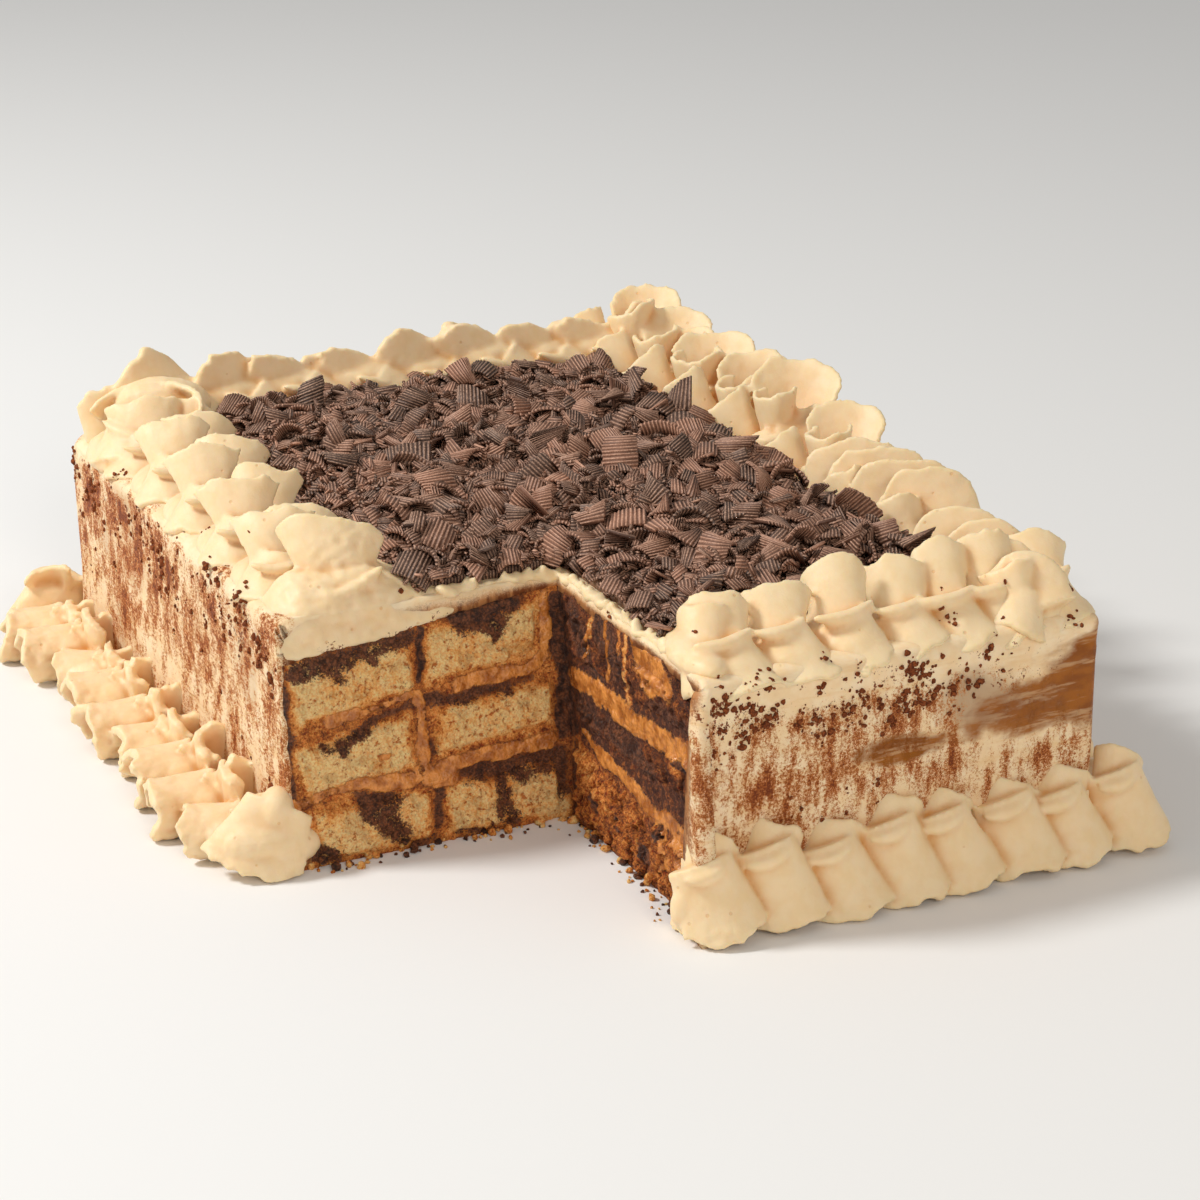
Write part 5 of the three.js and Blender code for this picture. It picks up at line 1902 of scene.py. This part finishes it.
# %% One curl of each size
LINES = {"crumb": 2, "small": 4, "medium": 8, "large": 26}  # cells along each size of curl
RIDGE_HEIGHT = 0.16  # on every second line of a large curl


def curl_model(kind):
    """A strip as points of (along, across, through), each from -1 to 1, its faces, and the height of
    the ridge at each point."""
    strip, _ = new_grid(kind, LINES[kind], 1)
    use(strip, "SOLIDIFY", thickness=2.0, offset=0)
    use(strip, "TRIANGULATE")
    points, faces = take_shape(strip)
    line = np.rint((points[:, 0] + 1) / 2 * LINES[kind]).astype(int)
    height = RIDGE_HEIGHT if kind == "large" else 0.0
    return points, faces, np.where(line % 2, height, -height)


CURLS = {kind: curl_model(kind) for kind in LINES}


def curl_points(kind, length, width, thickness, bend, draw):
    """A curl in millimetres, lying flat with its back up, and its UV map along and across it."""
    model, _, ridge = CURLS[kind]
    along, across, through = model.T
    across = across * (1 - 0.35 * np.abs(along) ** 3 * draw.random()) * (1 + 0.25 * draw.normal() * along)
    edge = 0.3 * draw.normal(size=len(along))
    height = through * thickness / 2 + np.where(through > 0, 1, 0.4) * ridge
    angle = along * bend / 2
    radius = length / max(bend, 0.05)
    radius_here = radius + height
    skew = 0.25 * draw.normal()
    points = np.column_stack([
        radius_here * np.sin(angle) + skew * across * width / 2,
        across * width / 2 + edge * 0.6,
        radius_here * np.cos(angle) - radius,
    ])
    points[:, 2] += 0.12 * width * draw.normal() * across * along
    if kind == "large":  # its ridges are in the mesh, one on every second line
        count = np.rint((along + 1) / 2 * LINES[kind]) / 2
    else:
        count = along * length / (2 * RIDGE)
    return points, np.column_stack([count * RIDGE, across * width / 2])


def turned(points, yaw, tilt, lean):
    """Turns points about X, then Y, then Z."""
    for angle, (i, j) in ((lean, (1, 2)), (tilt, (2, 0)), (yaw, (0, 1))):
        c, s = math.cos(angle), math.sin(angle)
        a, b = points[:, i].copy(), points[:, j].copy()
        points[:, i], points[:, j] = c * a - s * b, s * a + c * b
    return points


print("curls", {kind: len(faces) for kind, (_, faces, _) in CURLS.items()})

# %% [markdown]
# The curls are strewn in layers: small ones and crumbs fill the ground, medium ones lie over them, and
# a few large ones rest on top. None lies beyond the cut, and only a few lie right beside it.

# %% Strewing them
STREWN = [
    # size of curl, how many, lengths, widths, thickness, bends in radians, lift, wild, seed
    ("crumb", 6000, (0.9, 3.2), (0.7, 2.2), 0.6, (0.1, 0.6), (-0.2, 3.6), 0.8, 301),
    ("small", 3900, (2.6, 6.8), (1.4, 4.2), 0.55, (0.4, 2.2), (-0.5, 3.2), 0.6, 302),
    ("medium", 1050, (6.0, 11.5), (3.2, 7.2), 0.7, (0.9, 3.0), (0.2, 3.6), 0.55, 303),
    ("large", 240, (9.0, 16.5), (6.0, 10.5), 0.85, (0.9, 3.0), (1.2, 5.0), 0.55, 304),
]


def strew(name, kind, count, lengths, widths, thickness, bends, lift, wild, seed):
    """Lays curls of one size on the core; lift is how far above it, and wild is how much they tilt."""
    draw = np.random.default_rng(seed)
    points, faces, uvs, tones = [], [], [], []
    total = 0
    while len(points) < count:
        x = draw.uniform(-HEAP_LEFT - 3, HEAP_X + 4)
        y = draw.uniform(HEAP_NEAR - 4, HEAP_FAR + 4)
        spot = np.array([[x], [y]])
        gap = float(from_cut(*spot)[0])
        if gap < 2.5 or (gap < 8 and draw.random() < 0.35):
            continue
        ground = float(heap_top(*spot)[0])
        length = draw.uniform(*lengths)
        curl, uv = curl_points(kind, length, draw.uniform(*widths), thickness, draw.uniform(*bends), draw)
        curl = turned(curl, draw.uniform(0, 2 * math.pi), draw.normal(0, wild), draw.normal(0, wild))
        curl += (x, y, ground + draw.uniform(*lift) - 0.25 * min(0.0, curl[:, 2].min()))
        curl[:, 2] = np.maximum(curl[:, 2], HEIGHT + 0.1)
        points.append(curl)
        faces.append(CURLS[kind][1] + total)
        uvs.append(uv)
        tones.append(np.full(len(curl), draw.random()))
        total += len(curl)
    piece = mesh_piece(name, np.concatenate(points), np.concatenate(faces))
    write_uv(piece, np.concatenate(uvs))
    paint(piece, "tone", np.concatenate(tones))
    hand_over(piece, chocolate_finish, "chocolate")


NAMES = ("shavings_crumbs", "shavings_small", "shavings_medium", "shavings_large")
for name, row in zip(NAMES, STREWN):
    strew(name, *row)

# %% [markdown]
# ## The stage
#
# A plain pale floor, a white surrounding light, one soft lamp from the upper left and a weaker, warmer
# one from the front, as in a product photograph.

# %% Floor, lamps and surrounding light
deselect()
bpy.ops.mesh.primitive_plane_add(size=6, location=(0, 0, 0))
floor = bpy.context.object
floor.name = "floor"
pale_finish = finish("pale_floor", lambda recipe: {}, Base_Color=colour(238, 236, 233), Roughness=0.9)
floor.data.materials.append(pale_finish)
floor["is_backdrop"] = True

world = bpy.data.worlds.new("surroundings")
bpy.context.scene.world = world
world.use_nodes = True
background = world.node_tree.nodes["Background"]
background.inputs["Color"].default_value = (1.0, 1.0, 1.0, 1.0)
background.inputs["Strength"].default_value = 0.40


def lamp(name, place, target, size, power, tint):
    """A round soft lamp at a place, in metres, that shines towards a target."""
    light = bpy.data.lights.new(name, "AREA")
    light.shape, light.size, light.energy, light.color = "DISK", size, power, tint
    made = bpy.data.objects.new(name, light)
    bpy.context.scene.collection.objects.link(made)
    made.location = place
    made.rotation_mode = "QUATERNION"
    made.rotation_quaternion = (Vector(place) - Vector(target)).to_track_quat("Z", "Y")


LIT = (0, 0, 0.05)  # the middle of the cake
lamp("key", (-1.05, 0.45, 1.15), LIT, 0.3, 19.5, (0.985, 1.0, 1.0))
lamp("fill", (-0.25, -1.5, 0.85), LIT, 0.55, 6.8, (1.0, 0.93, 0.83))
bpy.context.scene.view_settings.view_transform = "Standard"
print("stage set")

# %% Count the triangles of the shown pieces
total = sum(triangles(piece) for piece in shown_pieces() if piece.type == "MESH")
